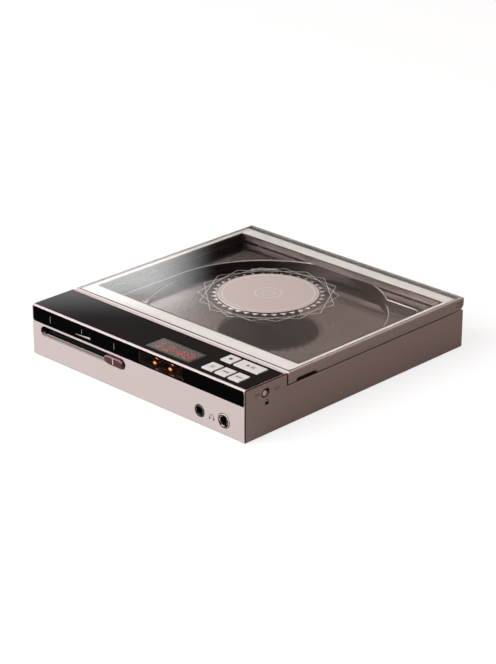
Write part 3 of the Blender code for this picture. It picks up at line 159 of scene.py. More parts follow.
def add_node(
    tree: NodeTree,
    kind: str,
    settings: dict[str | int, object] | None = None,
    links: dict[str | int, NodeSocket | Node] | None = None,
) -> Node:
    """Adds one node with its settings and the links into it.

    Args:
        tree: Tree that the node goes into.
        kind: Blender's name of the node type.
        settings: Node properties by name, and values of inputs by name or number.
        links: What feeds each input: a socket, or a node for its first output.

    Returns:
        The new node.
    """
    node = tree.nodes.new(kind)
    values = {}
    for name, value in (settings or {}).items():
        if isinstance(name, str) and hasattr(node, name):
            setattr(node, name, value)
        else:
            values[name] = value
    for name, value in values.items():
        node.inputs[name].default_value = value
    for name, source in (links or {}).items():
        tree.links.new(source.outputs[0] if isinstance(source, Node) else source, node.inputs[name])
    return node


@dataclass(frozen=True)
class Surface:
    """Material that is made once, when it is first asked for.

    Attributes:
        name: Name of the material.
        colour: sRGB hex colour, which is the tint of what shows through for a glass.
        roughness: Middle roughness, which is the blur of what shows through for a glass.
    """

    name: str
    colour: str
    roughness: float

    def shader(self, tree: NodeTree) -> Node:
        """Builds the surface nodes, which each kind of surface does in its own way."""
        raise NotImplementedError

    def material(self) -> Material:
        """Gives the material.

        Returns:
            The one that was made earlier, or else a new one.
        """
        found = bpy.data.materials.get(self.name)
        if found is None:
            found = bpy.data.materials.new(self.name)
            tree = cleared_tree(found)
            add_node(tree, "ShaderNodeOutputMaterial", None, {"Surface": self.shader(tree)})
        return found


@dataclass(frozen=True)
class Finish(Surface):
    """Solid surface with a fine grain, and a gloss that drifts slowly.

    Attributes:
        metallic: 1 for bare metal, 0 for plastic or paint.
        grain: Size of the fine grain, in millimetres.
        relief: Strength of the grain's bump.
        relief_depth: Height of the grain, in millimetres.
        drift: How far the roughness wanders over a few centimetres.
        shade: How far the colour darkens in patches.
        coat: Weight of a clear coat.
        ior: How strongly its clear surface mirrors the room.
    """

    metallic: float = 0.0
    grain: float = 0.25
    relief: float = 0.08
    relief_depth: float = 0.02
    drift: float = 0.05
    shade: float = 0.06
    coat: float = 0.0
    ior: float = 1.5

    def shader(self, tree: NodeTree) -> Node:
        """Builds the surface nodes of this finish.

        Args:
            tree: Tree that they go into.

        Returns:
            The Principled node.
        """
        place = {"Vector": add_node(tree, "ShaderNodeTexCoord").outputs["Object"]}
        grain = {"Scale": 1 / (self.grain * MM), "Detail": 3.0, "Roughness": 0.6}
        fine = add_node(tree, "ShaderNodeTexNoise", grain, place)
        broad = add_node(tree, "ShaderNodeTexNoise", {"Scale": DRIFT_SCALE, "Detail": 4.0}, place)
        gloss = {"To Min": max(self.roughness - self.drift, 0.01), "To Max": self.roughness + self.drift}
        rough = add_node(tree, "ShaderNodeMapRange", gloss, {"Value": broad})
        base = linear(self.colour)
        darker = tuple(c * (1 - self.shade) for c in base[:3]) + (1.0,)
        colour = add_node(tree, "ShaderNodeMix", {"data_type": "RGBA", 6: base, 7: darker}, {0: fine})
        height = {"Strength": self.relief, "Distance": self.relief_depth * MM}
        bump = add_node(tree, "ShaderNodeBump", height, {"Height": fine})
        return add_node(
            tree,
            "ShaderNodeBsdfPrincipled",
            {"Metallic": self.metallic, "Coat Weight": self.coat, "Coat Roughness": 0.04, "IOR": self.ior},
            {"Base Color": colour.outputs[2], "Roughness": rough, "Normal": bump},
        )


@dataclass(frozen=True)
class GlowFinish(Finish):
    """Finish that also gives light of its own, such as a lamp, a lit dot or a painted glow.

    Attributes:
        glow: sRGB hex colour of the light.
        strength: Strength of the light.
    """

    glow: str = "ff7a30"
    strength: float = 1.0

    def shader(self, tree: NodeTree) -> Node:
        """Builds the plain finish and sets its light.

        Args:
            tree: Tree that the nodes go into.

        Returns:
            The Principled node.
        """
        surface = super().shader(tree)
        surface.inputs["Emission Color"].default_value = linear(self.glow)
        surface.inputs["Emission Strength"].default_value = self.strength
        return surface


@dataclass(frozen=True)
class GlassFinish(Surface):
    """Clear or smoked glass that lets lamps through to what lies behind it.

    Attributes:
        ior: How strongly it bends and reflects light.
    """

    ior: float = 1.5

    def shader(self, tree: NodeTree) -> Node:
        """Builds the pane, which is a plain tint to shadows.

        Args:
            tree: Tree that the nodes go into.

        Returns:
            The node that mixes the two.
        """
        tint = linear(self.colour)
        pane = add_node(
            tree,
            "ShaderNodeBsdfPrincipled",
            {"Base Color": tint, "Roughness": self.roughness, "IOR": self.ior, "Transmission Weight": 1.0},
        )
        through = add_node(tree, "ShaderNodeBsdfTransparent", {"Color": tint})
        ray = add_node(tree, "ShaderNodeLightPath").outputs["Is Shadow Ray"]
        return add_node(tree, "ShaderNodeMixShader", None, {0: ray, 1: pane, 2: through})


# Fine satin of anodised aluminium, warm champagne where the light falls on it
ANODISED = Finish("anodised_aluminium_champagne", "cdc0bf", 0.42, metallic=0.35, grain=0.12, relief=0.05)
# Dark colour painted on the right side's corner bevels as a painted reflection of the dark part of the room,
# and into the ends of the volume slot as painted shade
EDGE_SHADE = Finish("anodised_aluminium_painted_shade", "3a2d29", 0.42, metallic=0.35, grain=0.12, relief=0.05)
# The same anodising in the well, smoother, so that it mirrors the light as soft bands
WELL_METAL = Finish(
    "anodised_aluminium_well", "beb8b9", 0.14, metallic=1.0, grain=3.0, relief=0.0, drift=0.01, shade=0.02
)
# The upright walls of the well, rougher, and painted dark as painted shade
WELL_WALL_SHADE = Finish("anodised_aluminium_well_wall_painted_shade", "302a29", 0.3, metallic=0.9, grain=0.1, relief=0.02)
# Chamfer round the well and its pockets, less metallic than the well so that it catches the lamp, as a
# painted highlight along their edges
WELL_EDGE_HIGHLIGHT = Finish("chamfer_painted_highlight", "b3aba8", 0.3, metallic=0.6, grain=0.1, relief=0.01)
# Polished black resin that mirrors the room over a deep black
BLACK_GLOSS = Finish(
    "black_acrylic_polished", "030304", 0.025, grain=2.0, relief=0.0, drift=0.01, ior=1.15
)
# Matt black moulding inside the slots and jacks, also laid into the finger notch as painted shade
BLACK_PLASTIC_AND_SHADE = Finish("black_abs_moulded_and_painted_shade", "121212", 0.5, grain=0.15, relief=0.1)
# Warm grey moulding of the optical sled
GREY_PLASTIC = Finish("grey_pom_moulded", "5a5654", 0.45, grain=0.2)
# Light silver paint on the keys, nearly matt
KEY_SILVER = Finish("silver_painted_abs", "d2d0ce", 0.38, metallic=0.3, grain=0.1, relief=0.04)
# Brown-red anodising of the volume knob
KNOB_METAL = Finish("anodised_aluminium_maroon", "674549", 0.34, metallic=0.5, grain=0.12)
# The knob's upper bevel, painted paler as a highlight
KNOB_HIGHLIGHT = Finish("anodised_aluminium_maroon_painted_highlight", "8f7275", 0.4, metallic=0.3, grain=0.12)
# Satin rail along the foot of the volume slot, painted dark as the shade in the slot
RAIL_SHADE = Finish("satin_aluminium_rail_painted_shade", "675d5b", 0.4, metallic=0.2, grain=0.12, relief=0.03)
# Bright machined rings, rods and screws
BRIGHT_METAL = Finish("machined_steel_bright", "cfccc8", 0.2, metallic=1.0, grain=0.2, relief=0.04)
# Blackened steel of the small jack's ring and the hinge brackets
DARK_METAL = Finish("blackened_steel", "57524e", 0.3, metallic=1.0, grain=0.2, relief=0.05)
# Satin badge disc, a little pinker than the case
BADGE_METAL = Finish("anodised_aluminium_rose", "c6b9b5", 0.34, metallic=0.4, grain=0.1, relief=0.04)
# Polished lines let into the top of the badge
BADGE_LINE = Finish("polished_aluminium_line", "e6dedb", 0.3, metallic=0.6, grain=0.3, relief=0.02)
# Silver ink of the facets and lines round the badge
BADGE_INK = Finish("silver_ink_round_badge", "bcb5b2", 0.4, metallic=0.1, grain=0.2, relief=0.02)
# Inside of the lid, painted darker as the shade within its walls, with a half-metal gloss that mirrors the
# room
LID_INSIDE_SHADE = Finish(
    "anodised_aluminium_inside_painted_shade", "6b5e5c", 0.42, metallic=0.5, grain=3.0, relief=0.0, shade=0.02
)
# The inner wall at the left, which turns away from the light
LID_SHADE = Finish("anodised_aluminium_shaded_inside", "2c2624", 0.4, metallic=0.5, grain=3.0, relief=0.0)
# Grey lacquer on the rim behind the glass, which barely mirrors the room
REAR_RIM = Finish("grey_lacquer_rim", "6a6866", 0.6, grain=0.3, relief=0.0, ior=1.1)
# Silver paint under the edge of the lid's glass
GLASS_BORDER = Finish("silver_ink_under_glass", "c4c0be", 0.4, metallic=0.15, grain=0.2, relief=0.02)
# Grey ink of the band near the hinge
GLASS_BAND = Finish("grey_ink_under_glass", "4d4b4a", 0.35, metallic=0.1, grain=0.2, relief=0.02)
# Soft black rubber of the feet, the mat and the dampers
RUBBER = Finish("nitrile_rubber_black", "1b1b1c", 0.8, grain=0.3, relief=0.2)
# Green solder mask of the two boards
BOARD = Finish("solder_mask_green", "14402a", 0.4, grain=0.5, relief=0.1)
# Shrink sleeve round the battery
SLEEVE = Finish("pvc_sleeve_blue", "2f3b52", 0.35, grain=1.0, relief=0.05)
# Grey print on the gloss strip
INK_GREY = Finish("screen_ink_grey", "a19d9a", 0.45, grain=0.1, relief=0.02)
# Pale moulded cap of the lock's knob
CAP_PALE = Finish("pale_abs_moulded", "f2ece9", 0.4, grain=0.2, relief=0.02)
# Pale line on the volume knob
INK_PALE = Finish("screen_ink_pale", "cbbcb6", 0.45, grain=0.1, relief=0.02)
# Pale plating of the large jack's ring
PALE_PLATING = Finish("nickel_plating_pale", "efe4d2", 0.3, metallic=0.45, grain=0.2, relief=0.02)
# Dark print on the keys and the case, also painted as shade on the lid's lower bevel and in the line round
# its window
DARK_INK_AND_SHADE = Finish("screen_ink_dark_and_painted_shade", "161211", 0.5, grain=0.1, relief=0.02)
# Face of the small display, near black with a faint warm cast
DISPLAY_FACE = Finish("smoked_polycarbonate", "1a1819", 0.12, grain=0.5, relief=0.01)
# Dots of the display that are off, and those that are lit
DOT_OFF = Finish("led_dot_grey", "7c7674", 0.4, grain=0.2, relief=0.02)
DOT_LIT = GlowFinish("led_dot_red", "a8432c", 0.4, grain=0.2, glow="ff5a34", strength=0.9)
# Small red lamps behind the window
BEAD = GlowFinish("led_bead_red", "7a1c12", 0.3, grain=0.2, glow="e0403c", strength=1.6)
# Orange light painted on the fronts of the valves' plates and on discs in front of them, a painted glow of
# the heaters, and the nickel round them
PAINTED_GLOW = GlowFinish("painted_glow_orange", "c85a20", 0.4, grain=0.3, glow="ff7a2a", strength=2.6)
PAINTED_GLOW_CORE = GlowFinish("painted_glow_core_amber", "ff9a4a", 0.4, grain=0.3, glow="ffa860", strength=3.6)
NICKEL = Finish("nickel_sheet", "7b736c", 0.3, metallic=1.0, grain=0.2)
# Clear plate of the lid, thin smoked window and the valves' own glass
LID_CLEAR = GlassFinish("float_glass_clear", "f6f6f5", 0.0, 1.25)
SMOKED = GlassFinish("smoked_acrylic", "6a625e", 0.0, 1.4)
VALVE_CLEAR = GlassFinish("valve_glass", "e8e2dc", 0.0, 1.45)
# The eye of the laser
LENS_GLASS = Finish("coated_lens_blue", "20303c", 0.05, grain=1.0, relief=0.0, coat=1.0)


class Part:
    """Mesh tools that every sub-assembly shares."""

    @staticmethod
    def at(point: Sequence[float]) -> Vector:
        """Turns case millimetres into metres in the model's frame."""
        return CASE_CORNER + Vector(point) * MM

    @staticmethod
    def polar(centre: Flat, radius: float, turn: float) -> Flat:
        """Gives the point at a radius and a turn, in radians, about a centre."""
        return (centre[0] + radius * math.cos(turn), centre[1] + radius * math.sin(turn))

    @staticmethod
    def grown(limits: Limits, extra: float) -> Limits:
        """Makes a range longer at both ends."""
        return (limits[0] - extra, limits[1] + extra)

    @staticmethod
    def span(middle: float, size: float) -> Limits:
        """Gives the range of a size about its middle."""
        return (middle - size / 2, middle + size / 2)

    @staticmethod
    def bar(point: Flat, wide: float, tall: float) -> list[Flat]:
        """Gives a rectangle about a point."""
        (a, b), (c, d) = Part.span(point[0], wide), Part.span(point[1], tall)
        return [(a, c), (b, c), (b, d), (a, d)]

    @staticmethod
    def rounded(across: Limits, along: Limits, radius: float, flats: int = 8) -> list[Flat]:
        """Gives the outline of a rectangle with round corners.

        Args:
            across: Limits of the first coordinate.
            along: Limits of the second coordinate.
            radius: Radius of the corners.
            flats: Straight steps in each corner.

        Returns:
            The points, the same number for any radius.
        """
        (left, right), (low, high) = Part.grown(across, -radius), Part.grown(along, -radius)
        middles = ((right, high), (left, high), (left, low), (right, low))
        return [
            Part.polar(middle, radius, math.pi / 2 * (quarter + i / flats))
            for quarter, middle in enumerate(middles)
            for i in range(flats + 1)
        ]

    @staticmethod
    def link(name: str, data: ID) -> Object:
        """Puts a mesh, curve, camera or lamp into the scene.

        Args:
            name: Name of the object.
            data: What the object shows.

        Returns:
            The object.
        """
        piece = bpy.data.objects.new(name, data)
        bpy.context.scene.collection.objects.link(piece)
        return piece

    @staticmethod
    def solid(name: str, shape: bmesh.types.BMesh) -> Object:
        """Turns an edited shape, which is used up, into an object.

        Args:
            name: Name of the piece.
            shape: The edited shape.

        Returns:
            The object, linked to the scene.
        """
        mesh = bpy.data.meshes.new(name)
        shape.to_mesh(mesh)
        shape.free()
        return Part.link(name, mesh)

    @staticmethod
    def from_rings(name: str, rings: Sequence[Sequence[Point]], closed: bool = False) -> Object:
        """Builds a solid through a row of rings that have the same number of points.

        Args:
            name: Name of the piece.
            rings: The rings in order, in case millimetres.
            closed: Joins the last ring to the first in place of capping both.

        Returns:
            The object, linked to the scene.
        """
        shape = bmesh.new()
        rows = [[shape.verts.new(Part.at(p)) for p in ring] for ring in rings]
        pairs = list(zip(rows, rows[1:]))
        if closed:
            pairs.append((rows[-1], rows[0]))
        else:
            shape.faces.new(rows[0])
            shape.faces.new(rows[-1])
        for low, high in pairs:
            for i in range(len(low)):
                shape.faces.new((low[i - 1], low[i], high[i], high[i - 1]))
        bmesh.ops.recalc_face_normals(shape, faces=shape.faces)
        return Part.solid(name, shape)

    @staticmethod
    def prism(name: str, outline: Sequence[Flat], limits: Limits, axis: Axis = Axis.Z) -> Object:
        """Draws an outline along an axis between two limits."""
        return Part.from_rings(name, [[axis.point(a, b, t) for a, b in outline] for t in limits])

    @staticmethod
    def turned(
        name: str, profile: Sequence[Flat], centre: Flat, axis: Axis, flats: int, ring: bool = False
    ) -> Object:
        """Turns a profile about an axis.

        Args:
            name: Name of the piece.
            profile: Radius and place along the axis of each point.
            centre: Where the axis passes through the plane across it.
            axis: Direction of the axis.
            flats: Straight steps round the piece.
            ring: Joins the profile's end to its start, for a piece with a hole.

        Returns:
            The object, linked to the scene.
        """
        turns = [2 * math.pi * i / flats for i in range(flats)]
        rings = [
            [axis.point(*Part.polar(centre, radius, turn), level) for turn in turns]
            for radius, level in profile
        ]
        return Part.from_rings(name, rings, closed=ring)

    @staticmethod
    def box(name: str, across: Limits, along: Limits, up: Limits) -> Object:
        """Builds a block between three ranges."""
        corners = [(across[i], along[j]) for i, j in ((0, 0), (1, 0), (1, 1), (0, 1))]
        return Part.prism(name, corners, up)

    @staticmethod
    def settle(piece: Object, used: Sequence[Object] = ()) -> Object:
        """Turns a piece with modifiers into a plain mesh.

        Args:
            piece: Piece whose modifiers are applied.
            used: Helpers that are removed after that.

        Returns:
            The piece.
        """
        graph = bpy.context.evaluated_depsgraph_get()
        mesh = bpy.data.meshes.new_from_object(piece.evaluated_get(graph))
        piece.modifiers.clear()
        piece.data = mesh
        for other in used:
            bpy.data.objects.remove(other)
        return piece

    @staticmethod
    def cut(base: Object, *others: Object) -> Object:
        """Cuts other solids out of the base.

        Args:
            base: Solid that is kept.
            others: Solids that are cut out of it and used up.

        Returns:
            The base, with the result as its mesh.
        """
        for other in others:
            step = base.modifiers.new("cut", "BOOLEAN")
            step.operation = "DIFFERENCE"
            step.solver = "EXACT"
            step.object = other
        return Part.settle(base, others)

    @staticmethod
    def gather(name: str, pieces: Sequence[Object]) -> Object:
        """Puts several loose pieces into one object without joining their faces.

        Args:
            name: Name of the result.
            pieces: Pieces that are put together and used up.

        Returns:
            The object, linked to the scene.
        """
        shape = bmesh.new()
        for piece in pieces:
            shape.from_mesh(piece.data)
            bpy.data.objects.remove(piece)
        return Part.solid(name, shape)

    @staticmethod
    def finish(
        piece: Object, finish: Surface, body: Body, slot: str, replaces: Sequence[str] = ()
    ) -> Object:
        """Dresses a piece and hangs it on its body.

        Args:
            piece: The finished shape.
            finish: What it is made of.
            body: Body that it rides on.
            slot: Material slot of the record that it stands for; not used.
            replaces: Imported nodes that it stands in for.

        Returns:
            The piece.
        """
        piece.data.materials.clear()
        piece.data.materials.append(finish.material())
        piece.data.set_sharp_from_angle(angle=math.radians(SHARP))
        Part.shade(piece.data)
        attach(piece, body.value)
        if replaces:
            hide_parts(*replaces)
        return piece

    @staticmethod
    def shade(mesh: Mesh, least: float = 0.5, most: float = 12.0, share: float = 0.35) -> None:
        """Smooths the curved faces of a mesh and keeps its planes flat.

        Faces that lie in one plane are taken together. They belong to a curve when much of
        their outline meets its neighbours at a small turn.

        Args:
            mesh: Mesh whose faces are marked.
            least: Neighbours that turn by fewer degrees lie in one plane.
            most: Neighbours that turn by more degrees meet at an edge.
            share: Least share of the outline with small turns on a curve.
        """
        shape = bmesh.new()
        shape.from_mesh(mesh)
        low, high = math.radians(least), math.radians(most)
        waiting = set(shape.faces)
        while waiting:
            plane = [waiting.pop()]
            outline = bent = 0.0
            for face in plane:
                for edge in face.edges:
                    turn = edge.calc_face_angle(math.pi)
                    if turn > low:
                        length = edge.calc_length()
                        outline += length
                        bent += length if turn < high else 0.0
                        continue
                    for other in edge.link_faces:
                        if other in waiting:
                            waiting.discard(other)
                            plane.append(other)
            for face in plane:
                face.smooth = bent > share * outline
        shape.to_mesh(mesh)
        shape.free()

    @staticmethod
    def refined(node: str, edge: Edge) -> Object:
        """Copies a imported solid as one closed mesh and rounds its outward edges.

        Args:
            node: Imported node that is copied.
            edge: How its edges are rounded.

        Returns:
            The object, named after the node.
        """
        shape = bmesh.new()
        shape.from_mesh(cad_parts[node].data)
        bmesh.ops.remove_doubles(shape, verts=shape.verts, dist=WELD * MM)
        bmesh.ops.recalc_face_normals(shape, faces=shape.faces)
        least = math.radians(ROUNDED_FROM)
        edges = [
            e for e in shape.edges if len(e.link_faces) == 2 and e.is_convex and e.calc_face_angle() > least
        ]
        width, steps = edge.value
        bmesh.ops.bevel(
            shape, geom=edges, offset=width * MM, segments=steps, profile=0.5, affect="EDGES"
        )
        piece = Part.solid(f"{node}_dressed", shape)
        normals = piece.data.attributes.get("custom_normal")
        if normals is not None:
            piece.data.attributes.remove(normals)
        return piece

    @staticmethod
    def packed(node: str, finish: Surface, body: Body, slot: str, edge: Edge) -> Object:
        """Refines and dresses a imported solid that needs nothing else.

        Args:
            node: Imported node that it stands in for.
            finish: What it is made of.
            body: Body that it rides on.
            slot: Material slot of the record.
            edge: How its edges are rounded.

        Returns:
            The piece.
        """
        return Part.finish(Part.refined(node, edge), finish, body, slot, [node])

    @staticmethod
    def letters(name: str, words: str, height: float, middle: Point, depth: float) -> Object:
        """Makes raised letters on the right side as one closed mesh.

        Args:
            name: Name of the piece.
            words: What they say.
            height: Size of the type, in millimetres.
            middle: Middle of the words' front, in case millimetres.
            depth: How far they reach back from their front.

        Returns:
            The object, linked to the scene.
        """
        curve = bpy.data.curves.new(name, "FONT")
        curve.body = words
        curve.size = height * MM
        curve.align_x, curve.align_y = "CENTER", "CENTER"
        curve.extrude = depth * MM / 2
        curve.resolution_u = 3
        source = Part.link(name, curve)
        graph = bpy.context.evaluated_depsgraph_get()
        mesh = bpy.data.meshes.new_from_object(source.evaluated_get(graph))
        bpy.data.objects.remove(source)
        shape = bmesh.new()
        shape.from_mesh(mesh)
        bmesh.ops.remove_doubles(shape, verts=shape.verts, dist=WELD_LETTER * MM)
        turn = Matrix.Rotation(math.pi / 2, 4, "Z") @ Matrix.Rotation(math.pi / 2, 4, "X")
        shape.transform(Matrix.Translation(Part.at(middle) - RIGHTWARD * depth * MM / 2) @ turn)
        return Part.solid(name, shape)

    @staticmethod
    def icon(name: str, shapes: Sequence[Sequence[Flat]], limits: Limits, axis: Axis = Axis.Z) -> Object:
        """Draws several outlines between two limits and keeps them as one piece."""
        drawn = [Part.prism(f"{name}_{i}", s, limits, axis) for i, s in enumerate(shapes)]
        return Part.gather(name, drawn)

    @staticmethod
    def inlay(base: Object, inset: Object, outwards: Vector) -> None:
        """Cuts a shallow seat for an inset piece and lowers it by a hair.

        Args:
            base: Piece that carries the inset.
            inset: Inset piece, whose front lies on the surface of the base.
            outwards: Direction that the surface faces.
        """
        hair, clear = outwards * HAIR * MM, outwards * CLEAR * MM
        cutter = Part.link(f"{inset.name}_cutter", inset.data.copy())
        depths = [outwards.dot(v.co) for v in cutter.data.vertices]
        middle = (min(depths) + max(depths)) / 2
        for vertex, depth in zip(cutter.data.vertices, depths):
            vertex.co += clear if depth > middle else -hair
        Part.cut(base, cutter)
        inset.data.transform(Matrix.Translation(-hair))

    @staticmethod
    def paint(piece: Object, finish: Surface, chosen: Test) -> None:
        """Gives some faces of a finished piece a second material.

        Args:
            piece: Piece that already has its main material.
            finish: Finish of the chosen faces.
            chosen: Test on a face's middle, in case millimetres, and its direction.
        """
        piece.data.materials.append(finish.material())
        number = len(piece.data.materials) - 1
        for face in piece.data.polygons:
            if chosen(tuple((face.center - CASE_CORNER) / MM), face.normal):
                face.material_index = number


@dataclass
class Studio:
    """Camera, lamp, floor and room.

    Attributes:
        camera: Place of the camera, solved from the straight edges of the case.
        heading: Direction that the camera faces, in degrees from +x.
        tilt: How far it looks down, in degrees.
        lens: Focal length.
        film: Length of the longer side of the picture on the film.
        clip: Nearest and farthest distance that it sees, in metres.
        lamp_at: Middle of the lamp's face.
        lamp_size: Width and height of its face.
        lamp_power: Its power, in watts.
        aim: Point that it is aimed at.
        floor_size: Length of the square floor.
        floor_level: Its level, just under the feet.
        paper: Colour that the floor throws on the object.
        paper_seen: Its colour to the camera, which takes the shadow.
        paper_mirrored: Its colour where the object mirrors it.
        paper_shine: Light that lifts it to white for the camera.
        sky: Colour of the bright side of the room.
        sky_dark: Colour of its dark side.
        dark_side: Direction of the dark side.
        dark_range: How far towards it the room starts and stops to darken.
        patch_heading: Headings over which the bright patch fades in, in degrees.
        patch_top: Heights over which it fades out at its top.
        patch_foot: Heights over which it fades in at its foot.
        patch_shine: Its brightness.
        rear_right: Headings over which the dark rear starts.
        rear_left: Headings over which it ends.
        rear: Its colour.
    """

    camera: Point = (772.63, -635.08, 438.94)
    heading: float = 134.3493
    tilt: float = 23.2692
    lens: float = 116.338
    film: float = 36.0
    clip: Flat = (0.01, 50.0)
    lamp_at: Point = (-450.0, -1250.0, 1050.0)
    lamp_size: Flat = (1500.0, 1500.0)
    lamp_power: float = 60.0
    aim: Point = (75.0, 79.0, 10.0)
    floor_size: float = 6000.0
    floor_level: float = -0.52
    paper: str = "8a8580"
    paper_seen: str = "7a7a7a"
    paper_mirrored: str = "4a4643"
    paper_shine: float = 0.8
    sky: str = "c4c2c0"
    sky_dark: str = "937060"
    dark_side: Point = (0.55, 0.83, 0.0)
    dark_range: Flat = (-0.3, 0.6)
    patch_heading: Flat = (135.2, 137.4)
    patch_top: Flat = (22.9, 21.8)
    patch_foot: Flat = (13.0, 19.0)
    patch_shine: float = 3.2
    rear_right: Flat = (129.0, 134.5)
    rear_left: Flat = (165.0, 150.0)
    rear: str = "201c1b"

    def build(self) -> None:
        """Sets up everything round the object."""
        bpy.context.scene.view_settings.view_transform = "Standard"
        self.make_camera()
        self.make_world()
        self.make_floor()
        self.make_lamp()

    def make_camera(self) -> None:
        """Puts the camera where the photograph was taken from."""
        data = bpy.data.cameras.new("camera")
        data.lens = self.lens
        data.sensor_width = self.film
        data.clip_start, data.clip_end = self.clip
        camera = Part.link("camera", data)
        camera.location = Part.at(self.camera)
        camera.rotation_euler = (math.radians(90 - self.tilt), 0.0, math.radians(self.heading - 90))
        bpy.context.scene.camera = camera

    def make_world(self) -> None:
        """Makes a room that is white to the camera and shines softly on the object.

        The room is bright at the left and dark and warm at the right, as the sides of the
        case show. A soft patch low at the back left is what the lid's glass mirrors.
        """
        world = bpy.data.worlds.new("studio")
        tree = cleared_tree(world)
        place = add_node(tree, "ShaderNodeTexCoord").outputs["Generated"]
        parts = add_node(tree, "ShaderNodeSeparateXYZ", None, {0: place}).outputs
        dark_side = {"operation": "DOT_PRODUCT", 1: Vector(self.dark_side).normalized()}
        towards = add_node(tree, "ShaderNodeVectorMath", dark_side, {0: place}).outputs["Value"]
        heading = add_node(tree, "ShaderNodeMath", {"operation": "ARCTAN2"}, {0: parts["Y"], 1: parts["X"]})
        height = add_node(tree, "ShaderNodeMath", {"operation": "ARCSINE"}, {0: parts["Z"]})
        fades = [(towards, self.dark_range)]
        for value, turns in (
            (heading, self.patch_heading),
            (height, self.patch_top),
            (height, self.patch_foot),
            (heading, self.rear_right),
            (heading, self.rear_left),
        ):
            fades.append((value, [math.radians(turn) for turn in turns]))
        dark, side, top, foot, right, left = (
            add_node(
                tree,
                "ShaderNodeMapRange",
                {"interpolation_type": "SMOOTHSTEP", "From Min": start, "From Max": end},
                {"Value": value},
            )
            for value, (start, end) in fades
        )
        times = {"operation": "MULTIPLY"}
        band = add_node(tree, "ShaderNodeMath", times, {0: top, 1: foot})
        inside = add_node(tree, "ShaderNodeMath", times, {0: side, 1: band})
        patch = add_node(tree, "ShaderNodeMath", {**times, 1: self.patch_shine}, {0: inside})
        ends = add_node(tree, "ShaderNodeMath", times, {0: right, 1: left})
        shade = add_node(tree, "ShaderNodeMath", times, {0: band, 1: ends})
        colours = {"data_type": "RGBA", 6: linear(self.sky), 7: linear(self.sky_dark)}
        room = add_node(tree, "ShaderNodeMix", colours, {0: dark})
        colours = {"data_type": "RGBA", 7: linear(self.rear)}
        dimmed = add_node(tree, "ShaderNodeMix", colours, {0: shade, 6: room.outputs[2]})
        added = {"data_type": "RGBA", "blend_type": "ADD", "clamp_result": False, 0: 1.0}
        lit = add_node(tree, "ShaderNodeMix", added, {6: dimmed.outputs[2], 7: patch})
        shine = add_node(tree, "ShaderNodeBackground", {"Strength": 1.0}, {"Color": lit.outputs[2]})
        white = add_node(tree, "ShaderNodeBackground", {"Color": linear("ffffff"), "Strength": 1.0})
        ray = add_node(tree, "ShaderNodeLightPath").outputs["Is Camera Ray"]
        chosen = add_node(tree, "ShaderNodeMixShader", None, {0: ray, 1: shine, 2: white})
        add_node(tree, "ShaderNodeOutputWorld", None, {"Surface": chosen})
        bpy.context.scene.world = world

    def make_floor(self) -> None:
        """Lays a white floor that keeps the object's shadow."""
        half = self.floor_size / 2
        corners = [(-half, -half), (half, -half), (half, half), (-half, half)]
        mesh = bpy.data.meshes.new("floor")
        points = [Part.at((a, b, self.floor_level)) for a, b in corners]
        mesh.from_pydata(points, [], [(0, 1, 2, 3)])
        mesh.materials.append(self.floor_material())
        Part.link("floor", mesh)

    def floor_material(self) -> Material:
        """Gives the floor a matt white that reads as paper to the camera.

        Returns:
            The material.
        """
        paper = bpy.data.materials.new("paper_white")
        tree = cleared_tree(paper)
        matt, shaded, mirrored = (
            add_node(tree, "ShaderNodeBsdfDiffuse", {"Color": linear(colour)})
            for colour in (self.paper, self.paper_seen, self.paper_mirrored)
        )
        white = add_node(tree, "ShaderNodeEmission", {"Strength": self.paper_shine})
        seen = add_node(tree, "ShaderNodeAddShader", None, {0: shaded, 1: white})
        ray = add_node(tree, "ShaderNodeLightPath").outputs
        bounce = add_node(tree, "ShaderNodeMixShader", None, {0: ray["Is Glossy Ray"], 1: matt, 2: mirrored})
        chosen = add_node(tree, "ShaderNodeMixShader", None, {0: ray["Is Camera Ray"], 1: bounce, 2: seen})
        add_node(tree, "ShaderNodeOutputMaterial", None, {"Surface": chosen})
        return paper

    def make_lamp(self) -> None:
        """Hangs a flat soft lamp that faces the object and isn't mirrored in it."""
        data = bpy.data.lights.new("key", "AREA")
        data.shape = "RECTANGLE"
        data.size, data.size_y = (side * MM for side in self.lamp_size)
        data.energy = self.lamp_power
        lamp = Part.link("key", data)
        lamp.visible_glossy = False
        lamp.location = Part.at(self.lamp_at)
        lamp.rotation_mode = "QUATERNION"
        lamp.rotation_quaternion = (Part.at(self.aim) - Part.at(self.lamp_at)).to_track_quat("-Z", "Y")


